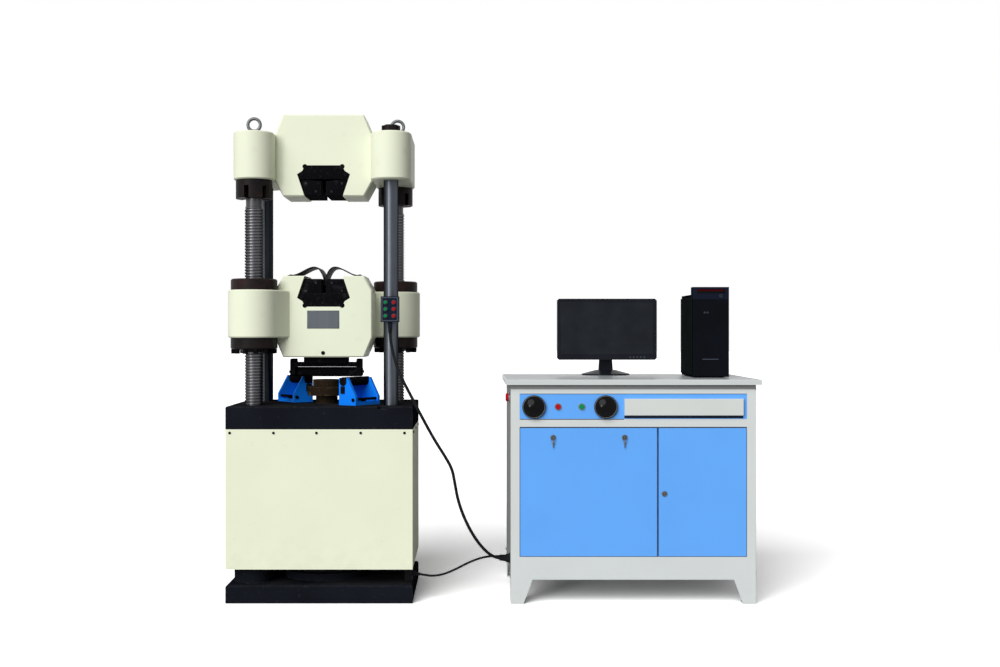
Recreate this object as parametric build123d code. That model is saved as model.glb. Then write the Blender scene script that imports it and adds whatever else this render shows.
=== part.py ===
from build123d import *
import math
import os

os.makedirs("parts", exist_ok=True)

# Universal testing machine: a hydraulic load frame, its control cabinet, a screen and a computer.
# X runs from the load frame to the cabinet, Y from front to back, Z up. The origin is on the floor,
# on the loading axis. All sizes are millimetres.

# Fits
running_fit = 0.05
seat_fit = 0.03
slide_gap = 0.3
door_gap = 0.8
door_split_gap = 4

# Base slab, bearing housings and hydraulic ram
slab_width = 740
slab_depth = 510
slab_height = 72
slab_edge = 6
housing_r = 78
housing_height = 60
journal_r = 30
journal_depth = 96
cylinder_r = 140
cylinder_height = 470
cylinder_floor = 40
cylinder_flange_r = 180
cylinder_flange_height = 28
cylinder_collar_r = 152
cylinder_collar_height = 44
piston_r = 100

# Table and skirt
table_width = 740
table_depth = 510
table_thickness = 90
table_top = 778
table_edge = 4
table_screw_clearance = 2
table_notch_x = 251
table_notch_r = 21
table_notch_depth = 11
skirt_sheet = 2
skirt_return = 18
skirt_bottom = 134
rail_height = 40
rail_thickness = 6

# Columns and lead screws
column_edge_x = 93
column_edge_y = 115
column_r = 30
screw_r = 37.5
neck_r = 33
neck_start = 1572
neck_top = 1846
end_chamfer = 3

# Crosshead castings: the same octagonal block, with the wedge slot open downwards at the top crosshead
# and upwards at the lower one
upper_mouth = 1626
lower_mouth = 1302
block_height = 332
block_depth = 220
block_screw_gap = 79
block_end_inset = 33
mouth_chamfer_height = 60
boss_height = 192
casting_edge = 5
lobe_r = 82
nut_boss_r = 104
web_x = 138
guide_bore_r = 40
guide_bore_depth = 172
nut_bore_clearance = 0.3

# Wedge slot and jaws
slot_mouth_half = 78
slot_wide_half = 108
slot_wide_depth = 90
slot_shoulder_half = 86
slot_shoulder_depth = 104
slot_end_half = 76
slot_end_depth = 126
slot_relief_r = 10
jaw_gap = 17
jaw_height = 72
jaw_crown_drop = 12
jaw_depth = 200
jaw_edge = 4
upper_jaw_inset = 4
lower_jaw_inset = 12

# Rings, nuts and eye bolts
guide_nut_r = 73
guide_nut_height = 75
guide_nut_rim = 26
guide_nut_slot_width = 20
guide_nut_slots = 6
guide_nut_turn = 15
column_nut_r = 38
column_nut_height = 28
column_nut_slot_width = 9
column_nut_slot_depth = 5
column_nut_slots = 8
column_end_proud = 4
seal_r = 93
seal_height = 45
cover_r = 93.5
cover_height = 46
cover_nose_r = 60
cover_nose_end_r = 46
cover_nose_height = 12
spot_face_gap = 1
eye_ring_r = 25
eye_wire_r = 6.5
eye_collar_r = 18
eye_collar_height = 8
right_eye_out = 23
right_eye_back = 56

# Guards over the lower jaws
guard_sheet = 4
guard_width = 150
guard_seat_x = 152
guard_bend_x = 122
guard_crown_x = 54
guard_shoulder_x = 24
guard_tip_x = 12
guard_crown_height = 36
guard_tip_height = 10
guard_bend_r = 55
guard_crown_r = 50
guard_shoulder_r = 20

# Bending head under the lower crosshead
head_block_width = 172
head_block_depth = 140
head_beam_width = 292
head_beam_depth = 90
head_beam_top = 22
head_beam_bottom = 40
head_cheek_thickness = 19
head_cheek_top = 8
head_cheek_bottom = 80
head_roller_r = 20
head_roller_drop = 62
head_pin_r = 9
head_roller_gap = 0.5

# Lower platen stack
platen_foot_r = 45
platen_foot_height = 32
platen_seat_r = 80
platen_seat_height = 38
platen_r = 57
platen_height = 28
platen_spigot_r = 20
platen_spigot_height = 10
platen_edge = 2

# Bending supports
support_length = 88
support_width = 152
support_height = 110
support_plate = 12
support_floor = 14
support_back = 3
support_back_drop = 16
support_toe_height = 34
support_head_length = 44
support_roller_r = 18
support_roller_x = 22
support_roller_z = 95
support_roller_overhang = 4
support_yaw = 35
support_screw_gap = 130
right_support_y = -112
left_support_y = 105

# Hand control on the front column
pendant_width = 72
pendant_height = 103
pendant_depth = 55
pendant_middle = 1164
pendant_edge = 3
pendant_saddle = 6
pendant_gland_r = 9
pendant_gland_length = 20
button_r = 7
button_proud = 7
button_length = 14
button_edge = 1
button_room = 5
button_pitch_x = 33
button_pitch_z = 27

# Cabinet
cab_left = 758
cab_width = 967
cab_front = -265
cab_depth = 580
cab_base = 96
cab_height = 769
cab_wall = 3
cab_frame_depth = 20
cab_stile = 35
cab_top_overhang = 20
cab_top_thickness = 21
cab_top_edge = 3
panel_bottom = 730
panel_height = 98
panel_sheet = 3
door_bottom = 186
door_height = 509
door_thickness = 18
door_sheet = 2
door_split_share = 0.6
post_width = 24
post_depth = 20
leg_top_width = 86
leg_foot_width = 50
leg_sheet = 4
leg_pad = 6

# Controls on the panel and the cabinet's side
knob_r = 46
knob_shares = (0.0941, 0.3868)
knob_z = 778
knob_rim_height = 12
knob_dome_r = 38
knob_dome_rise = 14
knob_stem_r = 8
knob_stem_length = 40
knob_panel_gap = 3
push_r = 11
push_proud = 9
push_length = 24
push_edge = 2
stop_share = 0.1934
start_share = 0.2896
switch_y = -200
switch_z = 812
switch_head_r = 17
switch_head_height = 12
switch_head_edge = 4
switch_stem_r = 9
switch_reach = 22
switch_room = 7

# Keyboard drawer
drawer_end_inset = 50
drawer_share = 0.485
drawer_bottom = 744
drawer_front_height = 66
drawer_front_thickness = 14
drawer_front_edge = 2
drawer_lip = 7
drawer_tray_depth = 420
drawer_wall = 2
runner_width = 20
runner_height = 10
runner_inset = 18

# Locks of the two doors
lock_r = 8
lock_flange_r = 11
lock_flange_height = 3
lock_length = 30
lock_key_slot = 2.5
left_lock_shares = (0.1727, 0.4643)
left_lock_z = 657
right_lock_inset = 26
right_lock_z = 435

# Hydraulic unit inside the cabinet
tank_wall_gap = 57
tank_partition_gap = 48
tank_front = -190
tank_depth = 380
tank_height = 330
tank_lid_height = 12
tank_lid_overhang = 8
tank_wall = 3
tank_edge = 10
filler_r = 30
filler_height = 26
filler_inset = 60
motor_r = 85
motor_length = 240
motor_bell_r = 70
motor_bell_length = 30
motor_axis_height = 100
motor_foot_width = 150
motor_foot_length = 170
pump_r = 45
pump_length = 70

# Screen
screen_share = 0.4416
screen_front = 168
screen_width = 429
screen_height = 263
screen_thickness = 22
screen_rise = 67
screen_corner = 8
screen_border = 14
screen_chin = 22
screen_recess = 2
screen_bulge_width = 300
screen_bulge_height = 170
screen_bulge_depth = 24
screen_bulge_taper = 12
stand_width = 208
stand_depth = 166
stand_height = 22
stand_rim = 6
stand_top_share = 0.42
neck_foot_width = 64
neck_top_width = 44
neck_width = 56
neck_thickness = 16
hinge_rise = 97
hinge_gap = 14
hinge_barrel_r = 9
hinge_pin_r = 5
hinge_ear = 8

# Computer
pc_end_inset = 217
pc_width = 147
pc_front = -99
pc_bezel_depth = 24
pc_depth = 300
pc_height = 371
pc_shoulder = 30
pc_head_height = 50
pc_head_depth = 54
pc_mouth_width = 112
pc_mouth_height = 17
pc_mouth_depth = 10
pc_mouth_drop = 9
pc_side_inset = 4
pc_foot = 3
pc_foot_r = 10
pc_foot_inset = 20
pc_bezel_edge = 5

# Cables
pendant_cable_r = 6
base_cable_r = 4.5
pendant_drop = 36.5
cable_arc_share = 0.45
gland_flange_r = 15
gland_flange_height = 5
gland_r = 11
gland_length = 18
pendant_entry_y = -240
pendant_entry_z = 171
base_entry_y = -208
base_entry_z = 177
outlet_width = 30
outlet_height = 40
outlet_y = -150
outlet_z = 98
pendant_route = [
    (286, -219, 1010),
    (301, -258, 960),
    (323, -284, 903),
    (362, -292, 830),
    (412, -292, 733),
    (460, -290, 646),
    (504, -290, 578),
    (528, -288, 533),
    (537, -287, 484),
    (550, -286, 412),
    (575, -282, 340),
    (613, -274, 266),
    (658, -258, 207),
    (701, -244, 176),
]
base_route = [
    (404, -157, 95),
    (441, -172, 92),
    (483, -191, 100),
    (530, -207, 121),
    (572, -217, 145),
    (613, -222, 165),
    (655, -221, 178),
    (698, -213, 180),
]

# Places worked out from the driving dimensions
screw_x = table_width / 2 - column_edge_x
screw_y = table_depth / 2 - column_edge_y
block_half_width = screw_x - block_screw_gap
block_end_half_width = block_half_width - block_end_inset
screw_places = [(-screw_x, -screw_y), (screw_x, screw_y)]
column_places = [(screw_x, -screw_y), (-screw_x, screw_y)]
table_bottom = table_top - table_thickness
upper_boss_bottom = upper_mouth + mouth_chamfer_height
upper_boss_top = upper_boss_bottom + boss_height
lower_boss_top = lower_mouth - mouth_chamfer_height
lower_boss_bottom = lower_boss_top - boss_height
lower_underside = lower_mouth - block_height
cab_right = cab_left + cab_width
cab_back = cab_front + cab_depth
cab_top = cab_base + cab_height
desk_top = cab_top + cab_top_thickness
door_split = cab_left + door_split_share * cab_width
knob_x = [cab_left + share * cab_width for share in knob_shares]
stop_x = cab_left + stop_share * cab_width
start_x = cab_left + start_share * cab_width
drawer_width = drawer_share * cab_width
drawer_left = cab_right - drawer_end_inset - drawer_width
left_lock_places = [(cab_left + share * cab_width, left_lock_z) for share in left_lock_shares]
right_lock_places = [(door_split + right_lock_inset, right_lock_z)]
tank_left = cab_left + tank_wall_gap
tank_right = door_split - tank_partition_gap
screen_x = cab_left + screen_share * cab_width
pc_left = cab_right - pc_end_inset


def block(x0, x1, y0, y1, z0, z1):
    """Box between two corners."""
    centre = Pos((x0 + x1) / 2, (y0 + y1) / 2, (z0 + z1) / 2)
    return centre * Box(x1 - x0, y1 - y0, z1 - z0)


def post(x, y, z0, z1, r):
    """Round bar along Z."""
    return Pos(x, y, (z0 + z1) / 2) * Cylinder(r, z1 - z0)


def bar_y(x, z, y0, y1, r):
    """Round bar along Y."""
    return Pos(x, (y0 + y1) / 2, z) * Rot(90, 0, 0) * Cylinder(r, y1 - y0)


def bar_x(y, z, x0, x1, r):
    """Round bar along X."""
    return Pos((x0 + x1) / 2, y, z) * Rot(0, 90, 0) * Cylinder(r, x1 - x0)


def plate_xz(points, half_depth):
    """Flat outline in the XZ plane, thickened the same amount to both sides."""
    outline = make_face(Polyline(*points, close=True))
    return extrude(Plane.XZ * outline, half_depth, both=True)


def rims(solid, axis):
    """Edges of the two end faces along an axis."""
    ends = solid.faces().sort_by(axis)
    return ends[0].edges() + ends[-1].edges()


def save(name, *solids):
    """Write one node, of one solid or of several like ones."""
    shape = solids[0] if len(solids) == 1 else Compound(children=list(solids))
    export_step(shape, f"parts/{name}.step")


# Base slab with a bearing housing for each lead screw
slab = block(-slab_width / 2, slab_width / 2, -slab_depth / 2, slab_depth / 2, 0, slab_height)
slab = chamfer(slab.faces().sort_by(Axis.Z)[-1].edges(), slab_edge)
housing_top = slab_height + housing_height
for x, y in screw_places:
    slab += post(x, y, slab_height, housing_top, housing_r)
for x, y in screw_places:
    slab -= post(x, y, housing_top - journal_depth, housing_top, journal_r + running_fit)
save("base_slab", slab)

# Hydraulic cylinder on the slab, open at the top, and its piston under the table
cylinder_top = slab_height + cylinder_height
bore_bottom = slab_height + cylinder_floor
cylinder = post(0, 0, slab_height, cylinder_top, cylinder_r)
cylinder += post(0, 0, slab_height, slab_height + cylinder_flange_height, cylinder_flange_r)
cylinder += post(0, 0, cylinder_top - cylinder_collar_height, cylinder_top, cylinder_collar_r)
cylinder -= post(0, 0, bore_bottom, cylinder_top, piston_r + running_fit)
save("cylinder", cylinder)
piston = post(0, 0, bore_bottom + slide_gap, table_bottom, piston_r)
save("piston", piston)

# Lead screws: lower journal, threaded length and the smooth neck that the top crosshead rides on
for name, (x, y) in zip(("lead_screw_left", "lead_screw_right"), screw_places):
    thread_bottom = housing_top + slide_gap
    screw = post(x, y, thread_bottom, neck_start, screw_r)
    screw = chamfer(rims(screw, Axis.Z), end_chamfer)
    screw += post(x, y, thread_bottom - journal_depth + end_chamfer, thread_bottom, journal_r)
    screw += post(x, y, neck_start, neck_top, neck_r)
    save(name, screw)

# Table plate with the rail that carries the skirt
table = block(-table_width / 2, table_width / 2, -table_depth / 2, table_depth / 2, table_bottom, table_top)
table = chamfer(table.faces().sort_by(Axis.Z)[-1].edges(), table_edge)
rail_x = table_width / 2 - skirt_sheet
rail_y = table_depth / 2 - skirt_sheet
rail = block(-rail_x, rail_x, -rail_y, rail_y, table_bottom - rail_height, table_bottom)
rail -= block(
    -rail_x + rail_thickness,
    rail_x - rail_thickness,
    -rail_y + rail_thickness,
    rail_y - rail_thickness,
    table_bottom - rail_height,
    table_bottom,
)
table += rail
for x, y in screw_places:
    table -= post(x, y, table_bottom, table_top, screw_r + table_screw_clearance)
for x, y in column_places:
    table -= post(x, y, table_bottom, table_top, column_r + seat_fit)
table -= post(table_notch_x, -table_depth / 2, table_top - table_notch_depth, table_top, table_notch_r)
save("table", table)


# Skirt: folded sheet pans at the front and rear, flat sheets at the sides
def skirt_pan(outer_y, inward):
    """Folded panel on the face at outer_y, with returns that go round the corners."""
    near = sorted((outer_y, outer_y + inward * skirt_sheet))
    deep = sorted((outer_y, outer_y + inward * skirt_return))
    pan = block(-table_width / 2, table_width / 2, *near, skirt_bottom, table_bottom)
    for side in (-1, 1):
        flank = sorted((side * table_width / 2, side * rail_x))
        pan += block(*flank, *deep, skirt_bottom, table_bottom)
    return pan


save("skirt_front", skirt_pan(-table_depth / 2, 1))
save("skirt_rear", skirt_pan(table_depth / 2, -1))
side_y = table_depth / 2 - skirt_return - slide_gap
side_sheets = [
    block(*sorted((side * table_width / 2, side * rail_x)), -side_y, side_y, skirt_bottom, table_bottom)
    for side in (-1, 1)
]
save("skirt_sides", *side_sheets)

# Smooth columns from the table through the top crosshead
column_top = upper_boss_top + column_nut_height + column_end_proud
for name, (x, y) in zip(("column_right", "column_left"), column_places):
    column = post(x, y, table_bottom, column_top, column_r)
    save(name, chamfer(rims(column, Axis.Z), end_chamfer))


# Crosshead castings
def crosshead_block(mouth, inward):
    """Octagonal block with the wedge slot. The slot runs from the mouth face, up if inward is 1."""
    far_chamfer = mouth_chamfer_height + boss_height
    half = [
        (block_end_half_width, 0),
        (block_half_width, mouth_chamfer_height),
        (block_half_width, far_chamfer),
        (block_end_half_width, block_height),
    ]
    outline = half + [(-x, v) for x, v in reversed(half)]
    body = plate_xz([(x, mouth + inward * v) for x, v in outline], block_depth / 2)
    body = chamfer(rims(body, Axis.Y), casting_edge)
    half_slot = [
        (slot_mouth_half, 0),
        (slot_wide_half, slot_wide_depth),
        (slot_shoulder_half, slot_shoulder_depth),
        (slot_end_half, slot_end_depth),
    ]
    slot = half_slot + [(-x, v) for x, v in reversed(half_slot)]
    body -= plate_xz([(x, mouth + inward * v) for x, v in slot], block_depth / 2)
    relief_z = mouth + inward * (slot_end_depth - slot_relief_r / 2)
    for side in (-1, 1):
        body -= bar_y(side * slot_end_half, relief_z, -block_depth / 2, block_depth / 2, slot_relief_r)
    return body


upper = crosshead_block(upper_mouth, 1)
for side in (-1, 1):
    plan = SlotCenterToCenter(2 * screw_y, 2 * lobe_r, rotation=90)
    lobe = extrude(Pos(side * screw_x, 0, upper_boss_bottom) * plan, boss_height)
    upper += chamfer(rims(lobe, Axis.Z), casting_edge)
for x, y in column_places:
    upper -= post(x, y, upper_boss_bottom, upper_boss_top, column_r + seat_fit)
for x, y in screw_places:
    upper -= post(x, y, upper_boss_bottom, upper_boss_bottom + guide_bore_depth, guide_bore_r)
    upper -= post(x, y, upper_mouth, upper_boss_bottom, guide_nut_r + spot_face_gap)
save("upper_crosshead", upper)

lower = crosshead_block(lower_mouth, -1)
for turn in (0, 180):
    boss = Pos(-screw_x, -screw_y) * Circle(nut_boss_r)
    web = Line((-web_x, -block_depth / 2), (-web_x, nut_boss_r - screw_y))
    arm = extrude(make_hull(boss.edges() + [web]), boss_height)
    arm = chamfer(rims(arm, Axis.Z), casting_edge)
    lower += Rot(0, 0, turn) * Pos(0, 0, lower_boss_bottom) * arm
for x, y in screw_places:
    lower -= post(x, y, lower_boss_bottom, lower_boss_top, screw_r + nut_bore_clearance)
    lower -= post(x, y, lower_boss_top, lower_mouth, seal_r + spot_face_gap)
    lower -= post(x, y, lower_underside, lower_boss_bottom, cover_r + spot_face_gap)
save("lower_crosshead", lower)


# Wedge jaws, one pair in each slot
def jaw(mouth, inward, inset, side):
    """One wedge: a gripping face at the middle, a lower crown there, and a back on the slot's slope."""
    slope = (slot_wide_half - slot_mouth_half) / slot_wide_depth
    face_gap = slide_gap * math.hypot(1, slope)
    near = inset
    far = inset + jaw_height
    outline = [
        (jaw_gap / 2, near),
        (slot_mouth_half + slope * near - face_gap, near),
        (slot_mouth_half + slope * far - face_gap, far),
        (jaw_gap / 2, far - jaw_crown_drop),
    ]
    wedge = plate_xz([(side * x, mouth + inward * v) for x, v in outline], jaw_depth / 2)
    return chamfer(rims(wedge, Axis.Y), jaw_edge)


for side, label in ((-1, "left"), (1, "right")):
    save(f"upper_jaw_{label}", jaw(upper_mouth, 1, upper_jaw_inset, side))
    save(f"lower_jaw_{label}", jaw(lower_mouth, -1, lower_jaw_inset, side))

# Slotted guide nuts under the top crosshead and slotted nuts on the column ends
guide_nuts = []
for x, y in screw_places:
    bottom = upper_boss_bottom - guide_nut_height
    nut = post(x, y, bottom, upper_boss_bottom, guide_nut_r)
    for turn in range(guide_nut_slots):
        notch = Box(2 * guide_nut_r, guide_nut_slot_width, guide_nut_height - guide_nut_rim)
        notch = Pos(guide_nut_r + neck_r + running_fit, 0, 0) * notch
        place = Pos(x, y, bottom + (guide_nut_height - guide_nut_rim) / 2)
        nut -= place * Rot(0, 0, turn * 360 / guide_nut_slots + guide_nut_turn) * notch
    guide_nuts.append(nut - post(x, y, bottom, upper_boss_bottom, neck_r + running_fit))
save("guide_nuts", *guide_nuts)

column_nuts = []
for x, y in column_places:
    top = upper_boss_top + column_nut_height
    nut = post(x, y, upper_boss_top, top, column_nut_r)
    for turn in range(column_nut_slots):
        notch = Box(2 * column_nut_slot_depth, column_nut_slot_width, column_nut_height)
        notch = Pos(column_nut_r, 0, 0) * notch
        nut -= Pos(x, y, (upper_boss_top + top) / 2) * Rot(0, 0, turn * 360 / column_nut_slots) * notch
    column_nuts.append(nut - post(x, y, upper_boss_top, top, column_r + seat_fit))
save("column_nuts", *column_nuts)

# Eye bolts on the top crosshead
eye_bolts = []
for x, y in ((-screw_x, -screw_y), (screw_x + right_eye_out, right_eye_back - screw_y)):
    ring_z = upper_boss_top + eye_collar_height + eye_ring_r
    eye = post(x, y, upper_boss_top, upper_boss_top + eye_collar_height, eye_collar_r)
    eye += Pos(x, y, ring_z) * Rot(90, 0, 0) * Torus(eye_ring_r, eye_wire_r)
    eye_bolts.append(eye)
save("eye_bolts", *eye_bolts)

# Dust rings above and bearing covers below the lower crosshead
seals = []
covers = []
for x, y in screw_places:
    bore = post(x, y, lower_underside, lower_mouth + seal_height, screw_r + nut_bore_clearance)
    seal = post(x, y, lower_boss_top, lower_boss_top + seal_height, seal_r)
    cover = post(x, y, lower_boss_bottom - cover_height, lower_boss_bottom, cover_r)
    cover = chamfer(cover.faces().sort_by(Axis.Z)[0].edges(), casting_edge)
    nose_z = lower_boss_bottom - cover_height - cover_nose_height / 2
    cover += Pos(x, y, nose_z) * Cone(cover_nose_end_r, cover_nose_r, cover_nose_height)
    seals.append(chamfer(seal.faces().sort_by(Axis.Z)[-1].edges(), casting_edge) - bore)
    covers.append(cover - bore)
save("screw_seals", *seals)
save("nut_covers", *covers)

# Curved guards that keep scale out of the lower jaws
guards = []
for side in (-1, 1):
    seat_z = lower_mouth + guard_sheet / 2
    crown_z = seat_z + guard_crown_height
    line = FilletPolyline(
        (side * guard_seat_x, seat_z),
        (side * guard_bend_x, seat_z),
        (side * guard_crown_x, crown_z),
        (side * guard_shoulder_x, crown_z),
        (side * guard_tip_x, seat_z + guard_tip_height),
        radius=[guard_bend_r, guard_crown_r, guard_shoulder_r],
    )
    guards.append(extrude(Plane.XZ * trace(line, guard_sheet), guard_width / 2, both=True))
save("jaw_guards", *guards)

# Bending head: a yoke under the lower crosshead with a turning roller
head_x = head_beam_width / 2
head_y = head_beam_depth / 2
roller_z = lower_underside - head_roller_drop
head = block(
    -head_block_width / 2,
    head_block_width / 2,
    -head_block_depth / 2,
    head_block_depth / 2,
    lower_underside - head_beam_top,
    lower_underside,
)
beam_z = (lower_underside - head_beam_bottom, lower_underside - head_beam_top)
head += block(-head_x, head_x, -head_y, head_y, *beam_z)
for side in (-1, 1):
    cheek_x = sorted((side * head_x, side * (head_x - head_cheek_thickness)))
    cheek_z = (lower_underside - head_cheek_bottom, lower_underside - head_cheek_top)
    cheek = block(*cheek_x, -head_y, head_y, *cheek_z)
    head += chamfer(cheek.edges().filter_by(Axis.X), head_cheek_top)
head -= bar_x(0, roller_z, -head_x, head_x, head_pin_r + running_fit)
save("bend_head", head)
roller_x = head_x - head_cheek_thickness - head_roller_gap
roller = bar_x(0, roller_z, -roller_x, roller_x, head_roller_r)
roller += bar_x(0, roller_z, -head_x, head_x, head_pin_r)
save("bend_head_roller", roller)

# Lower platen on its pedestal
seat_bottom = table_top + platen_foot_height
seat_top = seat_bottom + platen_seat_height
pedestal = post(0, 0, table_top, seat_bottom, platen_foot_r)
seat = post(0, 0, seat_bottom, seat_top, platen_seat_r)
pedestal += chamfer(rims(seat, Axis.Z), platen_edge)
pedestal -= post(0, 0, seat_top - platen_spigot_height, seat_top, platen_spigot_r + seat_fit)
save("platen_base", pedestal)
platen = post(0, 0, seat_top, seat_top + platen_height, platen_r)
platen = chamfer(rims(platen, Axis.Z), platen_edge)
platen += post(0, 0, seat_top - platen_spigot_height + slide_gap, seat_top + platen_edge, platen_spigot_r)
save("platen", platen)

# Bending supports: a back sheet and two cheeks on a floor plate, with a roller lying in open seats
cheek_outline = [
    (0, 0),
    (support_length, 0),
    (support_length, support_toe_height),
    (support_head_length, support_height),
    (0, support_height),
]
support = block(0, support_length, -support_width / 2, support_width / 2, 0, support_floor)
back_height = support_height - support_back_drop
support += block(0, support_back, -support_width / 2, support_width / 2, 0, back_height)
for side in (-1, 1):
    middle = side * (support_width - support_plate) / 2
    support += Pos(0, middle, 0) * plate_xz(cheek_outline, support_plate / 2)
seat_r = support_roller_r + running_fit
support -= bar_y(support_roller_x, support_roller_z, -support_width / 2, support_width / 2, seat_r)
support -= block(
    support_roller_x - seat_r,
    support_roller_x + seat_r,
    -support_width / 2,
    support_width / 2,
    support_roller_z,
    support_height,
)
roller_half = support_width / 2 + support_roller_overhang
support_roller = bar_y(support_roller_x, support_roller_z, -roller_half, roller_half, support_roller_r)
support_roller = chamfer(rims(support_roller, Axis.Y), platen_edge)
to_middle = Pos(-support_length / 2, 0, 0)
support_x = screw_x - support_screw_gap
right_place = Pos(support_x, right_support_y, table_top) * Rot(0, 0, -support_yaw) * to_middle
left_place = Pos(-support_x, left_support_y, table_top) * Rot(0, 0, 180 + support_yaw) * to_middle
for label, place in (("left", left_place), ("right", right_place)):
    save(f"bend_support_{label}", place * support)
    save(f"bend_roller_{label}", place * support_roller)

# Hand control: a box held on the front column by its saddle, with its cable gland and six buttons
pendant_x, pendant_y = column_places[0]
saddle_y = pendant_y - column_r
pendant_back = saddle_y + pendant_saddle
pendant_front = pendant_back - pendant_depth
pendant_z0 = pendant_middle - pendant_height / 2
pendant = block(
    pendant_x - pendant_width / 2,
    pendant_x + pendant_width / 2,
    pendant_front,
    pendant_back,
    pendant_z0,
    pendant_z0 + pendant_height,
)
pendant = chamfer(pendant.faces().sort_by(Axis.Y)[0].edges(), pendant_edge)
gland_y = (pendant_front + saddle_y) / 2
pendant += post(pendant_x, gland_y, pendant_z0 - pendant_gland_length, pendant_z0, pendant_gland_r)
pendant -= post(pendant_x, pendant_y, pendant_z0, pendant_z0 + pendant_height, column_r + seat_fit)
button_back = pendant_front - button_proud + button_length
button_places = [
    (pendant_x + column * button_pitch_x / 2, pendant_middle + row * button_pitch_z)
    for column in (-1, 1)
    for row in (1, 0, -1)
]
for x, z in button_places:
    pendant -= bar_y(x, z, pendant_front, button_back + button_room, button_r + running_fit)
save("pendant_box", pendant)
button_names = [f"pendant_button_{kind}_{n}" for kind in ("green", "red") for n in (1, 2, 3)]
for name, (x, z) in zip(button_names, button_places):
    button = bar_y(x, z, pendant_front - button_proud, button_back, button_r)
    save(name, chamfer(button.faces().sort_by(Axis.Y)[0].edges(), button_edge))

# Cabinet shell: folded sheet box with a front frame, drawer runners, a partition and four feet
inner_front = cab_front + cab_frame_depth
shell = block(cab_left, cab_right, cab_front, cab_back, cab_base, cab_top)
shell -= block(
    cab_left + cab_wall,
    cab_right - cab_wall,
    inner_front,
    cab_back - cab_wall,
    cab_base + cab_wall,
    cab_top,
)
open_left = cab_left + cab_stile
open_right = cab_right - cab_stile
panel_top = panel_bottom + panel_height
door_top = door_bottom + door_height
shell -= block(open_left, open_right, cab_front, inner_front, panel_bottom, panel_top)
shell -= block(open_left, open_right, cab_front, inner_front, door_bottom, door_top)
post_front = cab_front + door_thickness + door_gap
shell += block(
    door_split - post_width / 2,
    door_split + post_width / 2,
    post_front,
    post_front + post_depth,
    door_bottom,
    door_top,
)
shell += block(
    door_split - cab_wall / 2,
    door_split + cab_wall / 2,
    post_front,
    cab_back - cab_wall / 2,
    cab_base + cab_wall / 2,
    door_top,
)
tray_bottom = drawer_bottom + drawer_lip
tray_left = drawer_left + drawer_lip
tray_right = drawer_left + drawer_width - drawer_lip
runner_top = tray_bottom - slide_gap
for x in (tray_left + runner_inset, tray_right - runner_inset - runner_width):
    shell += block(
        x,
        x + runner_width,
        cab_front + panel_sheet + slide_gap,
        cab_back - cab_wall / 2,
        runner_top - runner_height,
        runner_top,
    )
for x, y, right, back in (
    (cab_left, cab_front, 1, 1),
    (cab_right, cab_front, -1, 1),
    (cab_left, cab_back, 1, -1),
    (cab_right, cab_back, -1, -1),
):
    flank = [(0, 0), (leg_foot_width, 0), (leg_top_width, cab_base), (0, cab_base)]
    front_plate = plate_xz([(right * u, v) for u, v in flank], leg_sheet / 2)
    side_plate = Rot(0, 0, 90) * plate_xz([(back * u, v) for u, v in flank], leg_sheet / 2)
    shell += Pos(x, y + back * leg_sheet / 2, 0) * front_plate
    shell += Pos(x + right * leg_sheet / 2, y, 0) * side_plate
    pad_x = sorted((x, x + right * leg_foot_width))
    pad_y = sorted((y, y + back * leg_foot_width))
    shell += block(*pad_x, *pad_y, 0, leg_pad)
switch_hole_r = switch_stem_r + running_fit
shell -= bar_x(switch_y, switch_z, cab_left, cab_left + cab_wall, switch_hole_r)
save("cabinet_shell", shell)

desk = block(
    cab_left - cab_top_overhang,
    cab_right + cab_top_overhang,
    cab_front - cab_top_overhang,
    cab_back + cab_top_overhang,
    cab_top,
    desk_top,
)
save("cabinet_top", chamfer(desk.faces().sort_by(Axis.Z)[-1].edges(), cab_top_edge))

# Control panel with its two valve knobs and two push buttons
panel = block(
    open_left + slide_gap,
    open_right - slide_gap,
    cab_front,
    cab_front + panel_sheet,
    panel_bottom + slide_gap,
    panel_top - slide_gap,
)
drawer_top = drawer_bottom + drawer_front_height
panel -= block(
    tray_left - slide_gap,
    tray_right + slide_gap,
    cab_front,
    cab_front + panel_sheet,
    tray_bottom - slide_gap,
    drawer_top - drawer_lip + slide_gap,
)
for x in knob_x:
    panel -= bar_y(x, knob_z, cab_front, cab_front + panel_sheet, knob_stem_r + running_fit)
for x in (stop_x, start_x):
    panel -= bar_y(x, knob_z, cab_front, cab_front + panel_sheet, push_r + running_fit)
save("control_panel", panel)
for name, x in zip(("delivery_knob", "return_knob"), knob_x):
    knob_back = cab_front - knob_panel_gap
    rim = bar_y(x, knob_z, knob_back - knob_rim_height, knob_back, knob_r)
    knob = chamfer(rims(rim, Axis.Y), knob_panel_gap)
    ball_r = (knob_dome_r**2 + knob_dome_rise**2) / (2 * knob_dome_rise)
    crown_y = knob_back - knob_rim_height - knob_dome_rise
    dome = Pos(x, crown_y + ball_r, knob_z) * Sphere(ball_r)
    knob += dome & bar_y(x, knob_z, crown_y, knob_back, knob_dome_r)
    knob += bar_y(x, knob_z, knob_back - knob_panel_gap, cab_front + knob_stem_length, knob_stem_r)
    save(name, knob)
for name, x in (("stop_button", stop_x), ("start_button", start_x)):
    push = bar_y(x, knob_z, cab_front - push_proud, cab_front - push_proud + push_length, push_r)
    save(name, chamfer(push.faces().sort_by(Axis.Y)[0].edges(), push_edge))
switch_x = cab_left - switch_room
switch = bar_x(switch_y, switch_z, switch_x - switch_head_height, switch_x, switch_head_r)
switch = chamfer(switch.faces().sort_by(Axis.X)[0].edges(), switch_head_edge)
switch += bar_x(switch_y, switch_z, switch_x, cab_left + switch_reach, switch_stem_r)
save("power_switch", switch)

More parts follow.
